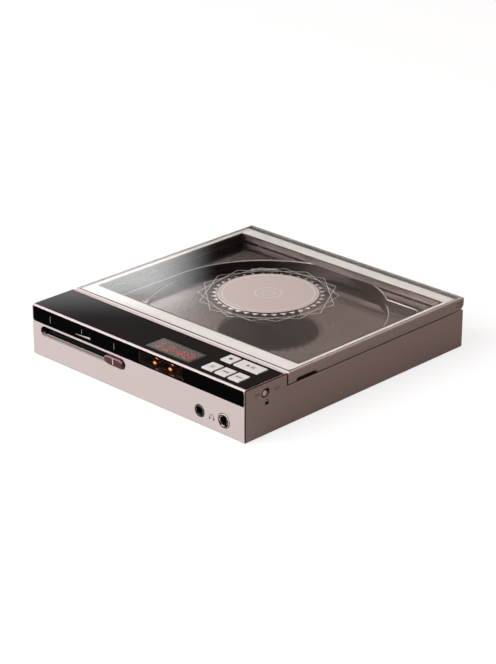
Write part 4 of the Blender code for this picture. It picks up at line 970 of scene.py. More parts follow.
class Tree:
    """Geometry Nodes tree that puts a small solid on every point of a mesh."""

    def __init__(self, name: str, flats: int, finishes: Sequence[Surface]) -> None:
        """Builds the tree with a named input for the number of sides.

        Args:
            name: Name of the tree.
            flats: Sides of each solid, or 0 for straight bars.
            finishes: Finish of the points marked 0, 1 and so on.
        """
        self.flats = flats
        self.tree = bpy.data.node_groups.new(name, "GeometryNodeTree")
        for label, way, kind in (
            ("Points", "INPUT", "NodeSocketGeometry"),
            ("Sides", "INPUT", "NodeSocketInt"),
            ("Solids", "OUTPUT", "NodeSocketGeometry"),
        ):
            self.tree.interface.new_socket(label, in_out=way, socket_type=kind)
        given = add_node(self.tree, "NodeGroupInput").outputs
        if flats:
            shape = {"Radius": 0.5, "Depth": 1.0}
            solid = add_node(self.tree, "GeometryNodeMeshCylinder", shape, {"Vertices": given["Sides"]})
        else:
            solid = add_node(self.tree, "GeometryNodeMeshCube")
        size, turn, mark = (
            add_node(self.tree, "GeometryNodeInputNamedAttribute", {"data_type": kind, "Name": label})
            for label, kind in (("size", "FLOAT_VECTOR"), ("turn", "FLOAT_VECTOR"), ("mark", "INT"))
        )
        links = {
            "Points": given["Points"],
            "Instance": solid,
            "Rotation": turn.outputs["Attribute"],
            "Scale": size.outputs["Attribute"],
        }
        spread = add_node(self.tree, "GeometryNodeInstanceOnPoints", None, links)
        last = add_node(self.tree, "GeometryNodeRealizeInstances", None, {"Geometry": spread})
        for number, finish in enumerate(finishes):
            equal = {"data_type": "INT", "operation": "EQUAL", 3: number}
            same = add_node(self.tree, "FunctionNodeCompare", equal, {2: mark.outputs["Attribute"]})
            dressing, links = {"Material": finish.material()}, {"Geometry": last, "Selection": same}
            last = add_node(self.tree, "GeometryNodeSetMaterial", dressing, links)
        add_node(self.tree, "NodeGroupOutput", None, {"Solids": last})

    def grow(
        self, name: str, spots: Sequence[tuple[Point, Point, Point, int]], body: Body
    ) -> None:
        """Grows the solids on a list of points and makes them a plain mesh.

        Args:
            name: Name of the piece.
            spots: Place, size, turn about the three axes and mark of each solid.
            body: Body that the piece rides on.
        """
        mesh = bpy.data.meshes.new(f"{name}_points")
        mesh.from_pydata([Part.at(spot[0]) for spot in spots], [], [])
        sizes = [side * MM for spot in spots for side in spot[1]]
        turns = [turn for spot in spots for turn in spot[2]]
        mesh.attributes.new("size", "FLOAT_VECTOR", "POINT").data.foreach_set("vector", sizes)
        mesh.attributes.new("turn", "FLOAT_VECTOR", "POINT").data.foreach_set("vector", turns)
        mesh.attributes.new("mark", "INT", "POINT").data.foreach_set("value", [s[3] for s in spots])
        piece = Part.link(name, mesh)
        step = piece.modifiers.new("solids", "NODES")
        step.node_group = self.tree
        for item in self.tree.interface.items_tree:
            if item.name == "Sides" and item.in_out == "INPUT":
                step[item.identifier] = self.flats
        Part.settle(piece)
        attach(piece, body.value)
        LOG.info("%s holds %d solids", name, len(spots))


@dataclass
class Lid:
    """Framed glass lid with its printed border, round badge and hinge.

    Attributes:
        glass_under: Level of the underside of the glass.
        border_out: Outer limits of the printed border, across and along.
        border_in: Limits of the clear window, across and along.
        band: Where the grey band at the hinge starts and ends.
        ink: Thickness of the print.
        gap: Gap between the print and the glass.
        corners: Radius of the print's outer corners and of its window's.
        inner_x: Limits across, within which the lid's walls face its window.
        inner_y: The same limits along.
        side: Level of the lid's right face along x.
        foot: Level of its lower edge.
        edge_band: Width of the band that holds the lower edge's bevel.
        seam: Middle along, length and height of the seams at the hinge.
        seam_z: Levels of the seams.
        rim_from: Where the grey rim behind the glass starts.
        rim_under: How far it reaches down past the underside of the glass.
        window_shade_width: Width of the line of painted shade round the clear window.
        notch: Limits of the black insert in the finger notch, laid there as painted shade, across, along and
            up.
        seal_under: The same limits of the seal under the lid.
        seal_front: The same limits of the seal in front of it.
        seal_width: Width of the seal under the lid.
        badge_centre: Middle of the badge.
        badge_top: Level of the badge's top.
        rings: Inner and outer radius of each ring on the badge.
        teeth: Number of facets round the badge.
        tooth: Middle radius, length outwards and width of a facet.
        star_r: Radius of the corners of the line star.
        star_corners: Number of its corners.
        star_step: Corners that each of its lines passes over.
        line: Width of its lines.
    """

    glass_under: float = 25.8
    border_out: tuple[Limits, Limits] = ((1.6, 148.4), (31.0, 153.7))
    border_in: tuple[Limits, Limits] = ((4.2, 145.8), (40.1, 146.5))
    band: Limits = (153.7, 156.9)
    ink: float = 0.12
    gap: float = 0.02
    corners: Flat = (0.3, 0.4)
    inner_x: Limits = (2.0, 148.0)
    inner_y: Limits = (30.0, 157.5)
    side: float = 150.0
    foot: float = 20.8
    edge_band: float = 0.4
    seam: Point = (154.6, 5.2, 0.32)
    seam_z: Flat = (23.1, 24.9)
    rim_from: float = 156.6
    rim_under: float = 0.3
    window_shade_width: float = 0.95
    notch: Block = ((145.9, 149.3), (35.3, 47.9), (20.84, 22.36))
    seal_under: Block = ((0.3, 149.7), (29.3, 150.0), (20.32, 20.76))
    seal_front: Block = ((0.3, 149.7), (28.34, 28.98), (20.34, 26.2))
    seal_width: float = 0.9
    badge_centre: Flat = (75.0, 93.3)
    badge_top: float = 27.0
    rings: tuple[Limits, ...] = ((23.3, 23.7), (6.6, 7.1), (3.0, 3.4))
    teeth: int = 36
    tooth: Point = (27.4, 3.0, 3.9)
    star_r: float = 36.0
    star_corners: int = 18
    star_step: int = 3
    line: float = 0.22

    def build(self) -> None:
        """Builds and dresses the lid's pieces."""
        lid = Part.refined("lid_frame", Edge.LID)
        bars = [Part.bar((self.seam[0], z), *self.seam[1:]) for z in self.seam_z]
        seams = Part.icon("hinge_seams", bars, (self.side - self.ink, self.side), Axis.X)
        Part.inlay(lid, seams, RIGHTWARD)
        Part.finish(seams, DARK_INK_AND_SHADE, Body.LID, "black_plastic")
        Part.finish(lid, ANODISED, Body.LID, "anodised_case", ["lid_frame"])
        # Painted shade on the bevel along the lid's lower edge
        Part.paint(lid, DARK_INK_AND_SHADE, self.lower_edge_shade)
        # Painted shade on the walls round the window, darkest on the left wall
        Part.paint(lid, LID_INSIDE_SHADE, self.faces_inwards)
        Part.paint(lid, LID_SHADE, lambda *face: self.faces_inwards(*face) and face[1].x > FACING)
        Part.paint(lid, REAR_RIM, self.behind_glass)
        self.seal()
        glass = Part.packed("lid_glass", LID_CLEAR, Body.LID, "clear_glass", Edge.SOFT)
        Part.paint(glass, REAR_RIM, lambda middle, normal: middle[1] > self.rim_from and normal.y > SLOPED)
        self.border()
        self.badge()
        self.star()
        for side in ("left", "right"):
            for node, finish, slot in (
                ("hinge_pin", BRIGHT_METAL, "bright_metal"),
                ("hinge_bracket", DARK_METAL, "dark_metal"),
                ("lid_magnet", NICKEL, "bright_metal"),
            ):
                body = Body.CASE if node == "hinge_bracket" else Body.LID
                Part.packed(f"{node}_{side}", finish, body, slot, Edge.FINE)

    def faces_inwards(self, middle: Point, normal: Vector) -> bool:
        """Tells the walls round the window from the lid's outside."""
        (x, y, z), (left, right), (front, back) = middle, self.inner_x, self.inner_y
        return left < x < right and front < y < back and z < self.glass_under

    def lower_edge_shade(self, middle: Point, normal: Vector) -> bool:
        """Tells the bevel along the foot of the lid's right side, which gets painted shade."""
        near = middle[0] > self.side - self.edge_band and middle[2] < self.foot + self.edge_band
        return near and normal.z < -LEANING

    def behind_glass(self, middle: Point, normal: Vector) -> bool:
        """Tells the rim behind the glass from the rest of the lid."""
        high = middle[2] > self.glass_under - self.rim_under
        return high and middle[1] > self.rim_from and normal.y < SQUARE

    def seal(self) -> None:
        """Lays a black insert into the finger notch as painted shade, and the seal into the gap under the
        lid.
        """
        # A black insert laid into the finger notch as painted shade
        notch_shade = Part.box("notch_shade_insert", *self.notch)
        Part.finish(notch_shade, BLACK_PLASTIC_AND_SHADE, Body.LID, "black_plastic")
        (left, right), along, up = self.seal_under
        bars = [
            Part.box("seal_left", (left, left + self.seal_width), along, up),
            Part.box("seal_right", (right - self.seal_width, right), along, up),
            Part.box("seal_front", *self.seal_front),
        ]
        seal = Part.gather("lid_seal", bars)
        Part.finish(seal, RUBBER, Body.CASE, "rubber")

    def border(self) -> None:
        """Prints the silver border, a line of painted shade inside it and the grey band under the glass."""
        outer, inner = self.corners
        up = (self.glass_under - self.ink - self.gap, self.glass_under - self.gap)
        out = Part.prism("lid_border", Part.rounded(*self.border_out, outer), up)
        hole = Part.rounded(*self.border_in, inner)
        Part.cut(out, Part.prism("window", hole, Part.grown(up, PAST)))
        Part.finish(out, GLASS_BORDER, Body.LID, "clear_glass")
        # A dark line of painted shade round the clear window
        line = Part.prism("lid_window_shade_line", hole, up)
        within = [Part.grown(limits, -self.window_shade_width) for limits in self.border_in]
        Part.cut(line, Part.prism("window", Part.rounded(*within, outer), Part.grown(up, PAST)))
        Part.finish(line, DARK_INK_AND_SHADE, Body.LID, "clear_glass")
        band = Part.prism("lid_band", Part.rounded(self.border_out[0], self.band, outer), up)
        Part.finish(band, GLASS_BAND, Body.LID, "clear_glass")

    def badge(self) -> None:
        """Builds the badge, black underneath, with rings let into its top."""
        badge = Part.refined("lid_badge", Edge.TRIM)
        drawn = [
            Part.turned("ring", self.ring_profile(*radii), self.badge_centre, Axis.Z, flats=96, ring=True)
            for radii in self.rings
        ]
        rings = Part.gather("badge_rings", drawn)
        Part.inlay(badge, rings, UP)
        Part.finish(badge, BADGE_METAL, Body.LID, "badge_metal", ["lid_badge"])
        Part.paint(badge, BLACK_PLASTIC_AND_SHADE, lambda middle, normal: normal.z < -TURNED)
        Part.finish(rings, BADGE_LINE, Body.LID, "badge_metal")

    def ring_profile(self, inner: float, outer: float) -> list[Flat]:
        """Gives the section of one ring on the badge."""
        low, high = self.badge_top - self.ink, self.badge_top
        return [(inner, low), (outer, low), (outer, high), (inner, high)]

    def star(self) -> None:
        """Prints the facets and the crossing lines round the badge under the glass."""
        level = self.glass_under - self.gap - self.ink / 2
        radius, length, width = self.tooth
        half = math.pi * self.star_step / self.star_corners
        reach, middle_r = 2 * self.star_r * math.sin(half), self.star_r * math.cos(half)
        facet, bar = (length, width, self.ink), (self.line, reach, self.ink / 2)
        for tree, flats, piece, count, first, place, size in (
            ("facet_ring", 3, "badge_facets", self.teeth, 0, radius, facet),
            ("line_star", 0, "badge_star", self.star_corners, self.star_step / 2, middle_r, bar),
        ):
            turns = [2 * math.pi * (i + first) / count for i in range(count)]
            spots = [
                ((*Part.polar(self.badge_centre, place, turn), level), size, (0.0, 0.0, turn), 0)
                for turn in turns
            ]
            Tree(tree, flats, (BADGE_INK,)).grow(piece, spots, Body.LID)


@dataclass
class ControlBlock:
    """Gloss top panel with the dot display and the five keys.

    Attributes:
        face_top: Level of the display's face.
        key_top: Level of the tops of the keys.
        display: Limits of the display face, across and along.
        digits: What the display shows.
        pitch: Distance between dots.
        rows: Rows of dots.
        columns: Columns of dots.
        dot: Width and height of a dot.
        ink: Thickness of the print on the keys.
        KEYS: Middle of each key, and its print: kind, place from the middle and sizes.
        GLYPHS: Dots of each sign that the display shows, from the top row down.
    """

    face_top: float = 26.9
    key_top: float = 27.4
    display: tuple[Limits, Limits] = ((78.5, 108.8), (4.2, 16.8))
    digits: str = "12:48"
    pitch: float = 0.95
    rows: int = 11
    columns: int = 29
    dot: Flat = (0.55, 0.05)
    ink: float = 0.06

    KEYS = {
        Body.KEY_STOP: ((120.3, 20.75), [("bar", 0.0, 0.0, 1.9, 1.9)]),
        Body.KEY_PLAY: (
            (133.3, 20.75),
            [("arrow", -1.4, 0.0, 2.1, 1), ("bar", 1.0, 0.0, 0.6, 2.0), ("bar", 2.2, 0.0, 0.6, 2.0)],
        ),
        Body.KEY_MENU: ((120.3, 8.55), [("bar", 0.0, row, 2.4, 0.36) for row in (-0.85, 0.0, 0.85)]),
        Body.KEY_PREVIOUS: (
            (128.95, 8.55),
            [("bar", -1.65, 0.0, 0.4, 1.7), ("arrow", -0.6, 0.0, 1.6, -1), ("arrow", 1.05, 0.0, 1.6, -1)],
        ),
        Body.KEY_NEXT: (
            (137.6, 8.55),
            [("bar", 1.65, 0.0, 0.4, 1.7), ("arrow", 0.6, 0.0, 1.6, 1), ("arrow", -1.05, 0.0, 1.6, 1)],
        ),
    }
    GLYPHS = {
        "1": ("00100", "01100", "00100", "00100", "00100", "00100", "01110"),
        "2": ("01110", "10001", "00001", "00010", "00100", "01000", "11111"),
        "4": ("00010", "00110", "01010", "10010", "11111", "00010", "00010"),
        "8": ("01110", "10001", "10001", "01110", "10001", "10001", "01110"),
        ":": ("0", "0", "1", "0", "1", "0", "0"),
    }

    def build(self) -> None:
        """Builds and dresses the panel, the display and the keys."""
        Part.packed("top_panel", BLACK_GLOSS, Body.CASE, "black_gloss", Edge.PANEL)
        Part.packed("display_module", DISPLAY_FACE, Body.CASE, "display_face", Edge.FINE)
        self.dots()
        self.keys()

    def lit(self) -> set[tuple[int, int]]:
        """Finds the dots that are lit.

        Returns:
            The column and row of each, counted from the lower left.
        """
        width = sum(len(self.GLYPHS[c][0]) + 1 for c in self.digits) - 1
        column = (self.columns - width) // 2
        found = set()
        for character in self.digits:
            glyph = self.GLYPHS[character]
            for row, line in enumerate(reversed(glyph)):
                found |= {(column + i, row + 1) for i, on in enumerate(line) if on == "1"}
            column += len(glyph[0]) + 1
        return found

    def dots(self) -> None:
        """Lays the grid of dots, with the digits lit."""
        (left, right), (front, back) = self.display
        first_x = (left + right - self.pitch * (self.columns - 1)) / 2
        first_y = (front + back - self.pitch * (self.rows - 1)) / 2
        lit = self.lit()
        wide, tall = self.dot
        spots = [
            (
                (first_x + column * self.pitch, first_y + row * self.pitch, self.face_top + tall / 2),
                (wide, wide, tall),
                (0.0, 0.0, 0.0),
                int((column, row) in lit),
            )
            for column in range(self.columns)
            for row in range(self.rows)
        ]
        grid = Tree("dot_grid", flats=8, finishes=(DOT_OFF, DOT_LIT))
        grid.grow("display_dots", spots, Body.CASE)

    @staticmethod
    def arrow(point: Flat, size: float, way: float) -> list[Flat]:
        """Gives a triangle whose tip points to the right for way 1 and to the left for -1."""
        (x, y), reach = point, way * size / 2
        return [(x - reach, y - size / 2), (x + reach, y), (x - reach, y + size / 2)]

    def keys(self) -> None:
        """Builds the keys with their print let into their tops."""
        draw = {"bar": Part.bar, "arrow": self.arrow}
        for body, ((x, y), shapes) in self.KEYS.items():
            drawn = [draw[kind]((x + dx, y + dy), *sizes) for kind, dx, dy, *sizes in shapes]
            key = Part.refined(body.value, Edge.SMOOTH)
            print_ = Part.icon(f"{body.value}_print", drawn, (self.key_top - self.ink, self.key_top))
            Part.inlay(key, print_, UP)
            Part.finish(key, KEY_SILVER, body, "silver_keys", [body.value])
            Part.finish(print_, DARK_INK_AND_SHADE, body, "black_plastic")


@dataclass
class CaseShell:
    """Body of the case with the prints on its front and right side, and its underside.

    Attributes:
        front: Level of the front face along y.
        right: Level of the right face along x.
        top: Level of the top of the right side.
        corner: Width of the band that holds a corner's bevel.
        ink: Thickness of the print.
        phones_at: Middle of the headphone sign, across and up.
        phones: Radius and line width of its bow, and how far it lies under the middle.
        bow: Where the bow starts and ends, in degrees.
        cup: Width, foot, top and corner radius of an ear cup, from the middle of the sign.
        on_at: Middle of the word ON, along and up.
        off_at: Middle of the word OFF.
        word: Height of the type.
        lock_at: Middle of the padlock sign.
        lock: Width, height and corner radius of its body.
        shackle: Rise, share of the body's width and line width of its bow.
        shackle_turn: Where that bow starts and ends, in degrees.
        cross: Length, width and depth of the recess in a screw.
        cross_over: How far its cutter stands over the head.
        slot: Limits of the painted shade in the ends of the volume slot, across, along and up.
    """

    front: float = 0.0
    right: float = 150.0
    top: float = 27.0
    corner: float = 0.5
    ink: float = 0.06
    phones_at: Flat = (128.1, 6.7)
    phones: Point = (1.15, 0.32, 0.1)
    bow: Limits = (5.0, 175.0)
    cup: tuple[float, ...] = (0.85, 1.4, 0.2, 0.25)
    on_at: Flat = (8.0, 22.2)
    off_at: Flat = (21.1, 21.5)
    word: float = 2.3
    lock_at: Flat = (14.4, 17.1)
    lock: Point = (2.4, 1.6, 0.2)
    shackle: Point = (0.25, 0.25, 0.34)
    shackle_turn: Limits = (-12.0, 192.0)
    cross: Point = (2.2, 0.5, 0.35)
    cross_over: float = 0.5
    slot: Block = ((6.2, 69.2), (0.15, 2.8), (11.1, 17.3))

    def build(self) -> None:
        """Builds and dresses the shell."""
        shell = Part.refined("case_body", Edge.SMOOTH)
        along_y = (self.front, self.front + self.ink)
        along_x = (self.right - self.ink, self.right)
        prints = [
            (Part.icon("phones_print", self.phones_sign(), along_y, Axis.Y), FORWARD),
            (Part.icon("padlock_print", self.padlock_sign(), along_x, Axis.X), RIGHTWARD),
        ]
        for name, words, (y, z) in (("on_print", "ON", self.on_at), ("off_print", "OFF", self.off_at)):
            word = Part.letters(name, words, self.word, (self.right, y, z), self.ink)
            prints.append((word, RIGHTWARD))
        for print_, outwards in prints:
            Part.inlay(shell, print_, outwards)
            Part.finish(print_, DARK_INK_AND_SHADE, Body.CASE, "black_plastic")
        Part.finish(shell, ANODISED, Body.CASE, "anodised_case", ["case_body"])
        # Painted dark reflection on the corner bevels, and painted shade in the ends of the volume slot
        Part.paint(shell, EDGE_SHADE, self.corner_painted_shade)
        Part.paint(shell, EDGE_SHADE, self.slot_painted_shade)
        self.underside()

    def slot_painted_shade(self, middle: Point, normal: Vector) -> bool:
        """Tells the ends of the volume slot, behind its edge, which get painted shade."""
        inside = all(low < place < high for (low, high), place in zip(self.slot, middle))
        return inside and normal.z < TURNED

    def corner_painted_shade(self, middle: Point, normal: Vector) -> bool:
        """Tells the narrow bevels along the front and top of the right side, which get a painted dark
        reflection.

        Args:
            middle: Middle of a face, in case millimetres.
            normal: Its direction.

        Returns:
            Whether the face belongs to them.
        """
        x, y, z = middle
        front = y < self.front + self.corner and normal.y < -LEANING
        above = z > self.top - self.corner and normal.z > LEANING
        return x > self.right - self.corner and normal.x > TURNED and (front or above)

    @staticmethod
    def arc(middle: Flat, radius: float, width: float, limits: Limits, steps: int = 16) -> list[Flat]:
        """Gives the outline of a bent band between two turns.

        Args:
            middle: Middle of its circle.
            radius: Inner radius.
            width: Width of the band.
            limits: Where it starts and ends, in degrees.
            steps: Straight steps along it.

        Returns:
            The points, once round the band.
        """
        turns = [math.radians(limits[0] + (limits[1] - limits[0]) * i / steps) for i in range(steps + 1)]
        inner = [Part.polar(middle, radius, t) for t in turns]
        return inner + [Part.polar(middle, radius + width, t) for t in reversed(turns)]

    def phones_sign(self) -> list[list[Flat]]:
        """Draws a pair of headphones.

        Returns:
            The outlines of its bow and its two cups.
        """
        (x, z), (radius, width, under) = self.phones_at, self.phones
        wide, foot, top, corner = self.cup
        cups = [
            Part.rounded(Part.span(x + way * (radius + width / 2), wide), (z - foot, z - top), corner)
            for way in (-1, 1)
        ]
        return [self.arc((x, z - under), radius, width, self.bow), *cups]

    def padlock_sign(self) -> list[list[Flat]]:
        """Draws a closed padlock.

        Returns:
            The outlines of its body and its bow.
        """
        (y, z), (wide, tall, corner), (rise, share, line) = self.lock_at, self.lock, self.shackle
        block = Part.rounded(Part.span(y, wide), (z - tall, z), corner)
        return [block, self.arc((y, z + rise), wide * share, line, self.shackle_turn)]

    def underside(self) -> None:
        """Builds the bottom cover, its feet and its screws."""
        Part.packed("bottom_cover", ANODISED, Body.CASE, "anodised_case", Edge.COVER)
        for number in range(1, 5):
            Part.packed(f"foot_{number}", RUBBER, Body.CASE, "rubber", Edge.SMOOTH)
            self.screw(f"cover_screw_{number}")

    def screw(self, node: str) -> None:
        """Builds one screw with a cross recess in its head.

        Args:
            node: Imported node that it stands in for.
        """
        piece = Part.refined(node, Edge.TRIM)
        low, high = (v - CASE_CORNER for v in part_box(node))
        x, y = ((low.x + high.x) / 2 / MM, (low.y + high.y) / 2 / MM)
        length, width, depth = self.cross
        head = low.z / MM
        limits = (head - self.cross_over, head + depth)
        bars = [
            Part.box("cross", Part.span(x, a), Part.span(y, b), limits)
            for a, b in ((length, width), (width, length))
        ]
        Part.cut(piece, *bars)
        Part.finish(piece, DARK_METAL, Body.CASE, "dark_metal", [node])


@dataclass
class FrontStrip:
    """Gloss strip with its print, and the window on the two small valves.

    Attributes:
        ink: Thickness of the print.
        tick_x: Places of the ticks across.
        tick: Levels of the foot and top of a tick, and its width.
        tick_over: How far the middle tick starts above the wedge's foot.
        wedge: Left and right end and foot of the wedge.
        wedge_rise: Height of the wedge at its left and right end.
        valve_x: Places of the two valves.
        valve_z: Level of their middles.
        back: Level of the back of the window.
        glow: Width and height of the disc of painted glow in front of a valve.
        beads: Places of the small lamps behind the window, across and up.
        bead: Width of a lamp.
        lamp_deep: Depth of a lamp or a glow.
        core: Share of the glow's size that its core takes up.
    """

    ink: float = 0.06
    tick_x: Point = (14.0, 37.5, 61.0)
    tick: Point = (20.2, 24.0, 0.2)
    tick_over: float = 1.3
    wedge: Point = (32.5, 43.75, 20.3)
    wedge_rise: Flat = (0.1, 1.1)
    valve_x: Flat = (89.4, 100.0)
    valve_z: float = 22.2
    back: float = 0.6
    glow: Flat = (2.9, 1.9)
    beads: tuple[Flat, ...] = ((82.6, 23.4), (93.0, 23.7), (96.4, 20.9), (105.4, 22.6))
    bead: float = 0.5
    lamp_deep: float = 0.16
    core: float = 0.6

    def build(self) -> None:
        """Builds and dresses the strip and the valves."""
        strip = Part.refined("front_strip", Edge.TRIM)
        low, high, wide = self.tick
        left, right, foot = self.wedge
        shapes = [
            Part.bar((x, (low + high) / 2), wide, high - low) for x in (self.tick_x[0], self.tick_x[2])
        ]
        wedge = [
            (left, foot),
            (right, foot),
            (right, foot + self.wedge_rise[1]),
            (left, foot + self.wedge_rise[0]),
        ]
        middle = (foot + self.tick_over + high) / 2
        shapes += [Part.bar((self.tick_x[1], middle), wide, high - foot - self.tick_over), wedge]
        print_ = Part.icon("strip_print", shapes, (0.0, self.ink), Axis.Y)
        Part.inlay(strip, print_, FORWARD)
        Part.finish(strip, BLACK_GLOSS, Body.CASE, "black_gloss", ["front_strip"])
        Part.finish(print_, INK_GREY, Body.CASE, "grey_plastic")
        Part.packed("valve_window", SMOKED, Body.CASE, "dark_glass", Edge.TRIM)
        self.valves()

    def valves(self) -> None:
        """Builds the valves with their plates, a painted glow on the plates' fronts and on discs in front of
        them, and the small lamps behind the window.
        """
        Part.packed("valve_holder", BLACK_PLASTIC_AND_SHADE, Body.CASE, "black_plastic", Edge.SOFT)
        for side in ("left", "right"):
            valve = f"valve_{side}"
            Part.packed(valve, VALVE_CLEAR, Body.CASE, "clear_glass", Edge.ROUND)
            plates = Part.packed(f"{valve}_electrodes", NICKEL, Body.CASE, "valve_glow", Edge.SMOOTH)
            # Painted glow on the plates' faces that look forward
            Part.paint(plates, PAINTED_GLOW, lambda middle, normal: normal.y < -FACING)
        facing, deep = (math.pi / 2, 0.0, 0.0), self.lamp_deep
        size = (self.bead, self.bead, deep)
        spots = [((x, self.back + deep / 2, z), size, facing, 0) for x, z in self.beads]
        core = (self.glow[0] * self.core, self.glow[1] * self.core, deep / 2)
        # A disc of painted glow and its core in front of each valve
        for x in self.valve_x:
            spots.append(((x, self.back + deep, self.valve_z), (*self.glow, deep), facing, 1))
            spots.append(((x, self.back + deep / 4, self.valve_z), core, facing, 2))
        lamps = Tree("lamp_beads_and_glow", flats=20, finishes=(BEAD, PAINTED_GLOW, PAINTED_GLOW_CORE))
        lamps.grow("window_lamps_and_glow", spots, Body.CASE)


@dataclass
class SideControls:
    """Volume slide, jacks and lock switch.

    Attributes:
        knob_x: Middle of the volume knob.
        knob_z: Levels of its foot and top.
        knob_y: Its front.
        index: Width and depth of the pale index line, and its gap to the knob's foot and top.
        groove_highlight_top: Level under which the faces of the groove that look up are painted in paler
            steel as a painted highlight.
        rail: Limits of the rail in the slot, across, along and up.
        rings: Node, middle, finish and bevel finish of each jack's ring.
        ring_tilt: Range of the forward direction of a ring's bevel.
        lock_at: Middle of the lock's knob, along and up.
        lock_x: Level of its face.
        cap_r: Radii of its pale cap, from the point at its middle outwards.
        cap_deep: Depth of the cap.
    """

    knob_x: float = 60.9
    knob_z: Limits = (12.1, 16.3)
    knob_y: float = -1.0
    index: Point = (0.45, 0.06, 0.35)
    groove_highlight_top: float = 16.0
    rail: Block = ((8.6, 66.8), (1.75, 2.6), (11.36, 12.2))
    rings: tuple[tuple[str, Flat, Surface, Surface], ...] = (
        ("jack_ring_3_5", (120.0, 7.2), BLACK_PLASTIC_AND_SHADE, GREY_PLASTIC),
        ("jack_ring_4_4", (136.0, 7.2), DARK_METAL, PALE_PLATING),
    )
    ring_tilt: Limits = (-0.95, -0.2)
    lock_at: Flat = (13.1, 21.6)
    lock_x: float = 149.8
    cap_r: Flat = (0.02, 1.45)
    cap_deep: float = 0.1

    def build(self) -> None:
        """Builds and dresses the controls."""
        knob = Part.refined("volume_knob", Edge.ROUND)
        wide, deep, gap = self.index
        across, along = Part.span(self.knob_x, wide), (self.knob_y, self.knob_y + deep)
        line = Part.box("knob_index", across, along, Part.grown(self.knob_z, -gap))
        Part.inlay(knob, line, FORWARD)
        Part.finish(knob, KNOB_METAL, Body.VOLUME, "knob_maroon", ["volume_knob"])
        # Painted highlight on the knob's upper bevel
        Part.paint(knob, KNOB_HIGHLIGHT, lambda middle, normal: normal.z > SLOPED and normal.y < -SLOPED)
        groove = Part.packed("volume_fader", BLACK_PLASTIC_AND_SHADE, Body.CASE, "black_plastic", Edge.FINE)
        # A rail in the slot, its front painted dark as shade and its top painted paler as a highlight
        rail = Part.box("slot_rail", *self.rail)
        Part.finish(rail, RAIL_SHADE, Body.CASE, "dark_metal")
        # The rail's top is painted in the case's paler colour as a painted highlight
        Part.paint(rail, ANODISED, lambda middle, normal: normal.z > FACING)
        # Painted highlight on the groove's faces that look up
        Part.paint(
            groove, DARK_METAL, lambda middle, normal: normal.z > FACING and middle[2] < self.groove_highlight_top
        )
        self.lock()
        for node, centre, flat, bevel in self.rings:
            slot = "bright_metal" if bevel is PALE_PLATING else "dark_metal"
            ring = Part.packed(node, flat, Body.CASE, slot, Edge.RING)
            Part.paint(ring, bevel, lambda middle, normal: self.ring_tilt[0] < normal.y < self.ring_tilt[1])
            Part.paint(ring, BLACK_PLASTIC_AND_SHADE, lambda middle, normal: self.in_bore(centre, middle, normal))
        Part.finish(line, INK_PALE, Body.VOLUME, "knob_maroon")

    def in_bore(self, centre: Flat, middle: Point, normal: Vector) -> bool:
        """Tells the wall of a jack's bore, which faces its axis."""
        inwards = (centre[0] - middle[0]) * normal.x + (centre[1] - middle[2]) * normal.z
        return abs(normal.y) < LEANING and inwards > 0

    def lock(self) -> None:
        """Builds the lock's knob, dark with a pale cap let into its face."""
        knob = Part.refined("lock_knob", Edge.FINE)
        (inner, outer), top = self.cap_r, self.lock_x
        low = top - self.cap_deep
        profile = [(inner, low), (outer, low), (outer, top), (inner, top)]
        cap = Part.turned("lock_cap", profile, self.lock_at, Axis.X, flats=48)
        Part.inlay(knob, cap, RIGHTWARD)
        Part.finish(knob, BLACK_PLASTIC_AND_SHADE, Body.LOCK, "black_plastic", ["lock_knob"])
        Part.finish(cap, CAP_PALE, Body.LOCK, "silver_keys")


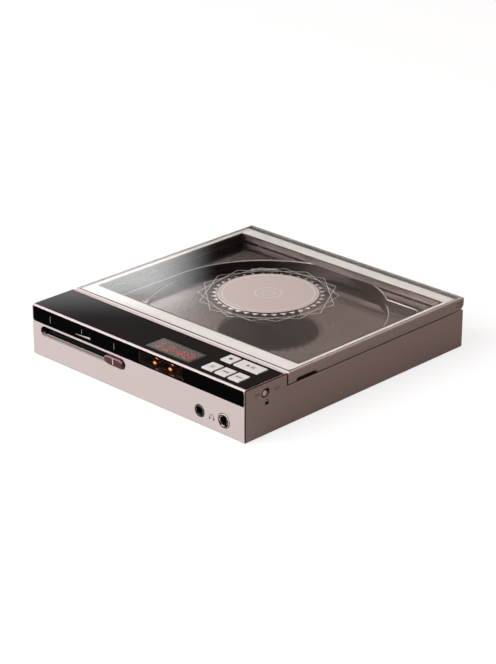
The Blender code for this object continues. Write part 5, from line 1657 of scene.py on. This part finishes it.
@dataclass
class DiscDeck:
    """Disc well with its pockets, the drive under it and the electronics.

    Attributes:
        tilt: Least and most upward direction of a face that belongs to the chamfer.
        centre: Middle of the well.
        highlighted_from: Radius from which its edges carry the painted highlight.
    """

    tilt: Limits = (0.3, 0.96)
    centre: Flat = (75.0, 92.0)
    highlighted_from: float = 58.0

    def build(self) -> None:
        """Builds and dresses the deck and everything that stands under it."""
        tray = Part.packed("disc_tray", WELL_METAL, Body.CASE, "deck_metal", Edge.WELL)
        # Painted highlight on the chamfer round the well and its pockets
        Part.paint(tray, WELL_EDGE_HIGHLIGHT, self.on_highlight_chamfer)
        # Painted shade on the well's upright walls
        Part.paint(tray, WELL_WALL_SHADE, lambda middle, normal: abs(normal.z) < self.tilt[0])
        for nodes, dressing in SMALL_PARTS.items():
            for node in nodes:
                Part.packed(node, *dressing)

    def on_highlight_chamfer(self, middle: Point, normal: Vector) -> bool:
        """Tells the chamfer of the well and its pockets, which gets a painted highlight, from the sled's
        plain slot.
        """
        away = math.dist(middle[:2], self.centre)
        return away > self.highlighted_from and self.tilt[0] < normal.z < self.tilt[1]


# Finish, body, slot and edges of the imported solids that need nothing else
SMALL_PARTS: dict[tuple[str, ...], tuple[Surface, Body, str, Edge]] = {
    ("headphone_jack_3_5", "headphone_jack_4_4"): (BLACK_PLASTIC_AND_SHADE, Body.CASE, "black_plastic", Edge.FINE),
    ("usb_c_socket",): (NICKEL, Body.CASE, "bright_metal", Edge.SOCKET),
    ("lock_switch",): (BLACK_PLASTIC_AND_SHADE, Body.CASE, "black_plastic", Edge.FINE),
    ("key_board", "main_board"): (BOARD, Body.CASE, "board_green", Edge.BOARD),
    ("battery_pack",): (SLEEVE, Body.CASE, "battery_wrap", Edge.BATTERY),
    ("turntable_hub",): (BLACK_PLASTIC_AND_SHADE, Body.TURNTABLE, "black_plastic", Edge.HUB),
    ("turntable_mat",): (RUBBER, Body.TURNTABLE, "rubber", Edge.FINE),
    ("spindle_motor",): (BRIGHT_METAL, Body.CASE, "bright_metal", Edge.MOTOR),
    ("mech_chassis",): (DARK_METAL, Body.CASE, "dark_metal", Edge.FINE),
    ("damper_1", "damper_2", "damper_3", "damper_4"): (RUBBER, Body.CASE, "rubber", Edge.SOFT),
    ("optical_sled",): (GREY_PLASTIC, Body.SLED, "grey_plastic", Edge.SOFT),
    ("objective_lens",): (LENS_GLASS, Body.LENS, "clear_glass", Edge.SOFT),
    ("guide_rod_left", "guide_rod_right"): (BRIGHT_METAL, Body.CASE, "bright_metal", Edge.FINE),
    ("lead_screw",): (BRIGHT_METAL, Body.FEED_SCREW, "bright_metal", Edge.BOARD),
    ("sled_motor",): (BRIGHT_METAL, Body.CASE, "bright_metal", Edge.HUB),
}


def main() -> None:
    """Builds the sub-assemblies in order."""
    logging.basicConfig(level=logging.INFO, format="%(name)s: %(message)s")
    Studio().build()
    for assembly in (CaseShell(), ControlBlock(), FrontStrip(), SideControls(), DiscDeck(), Lid()):
        LOG.info("building %s", type(assembly).__name__)
        assembly.build()


if __name__ == "__main__":
    main()
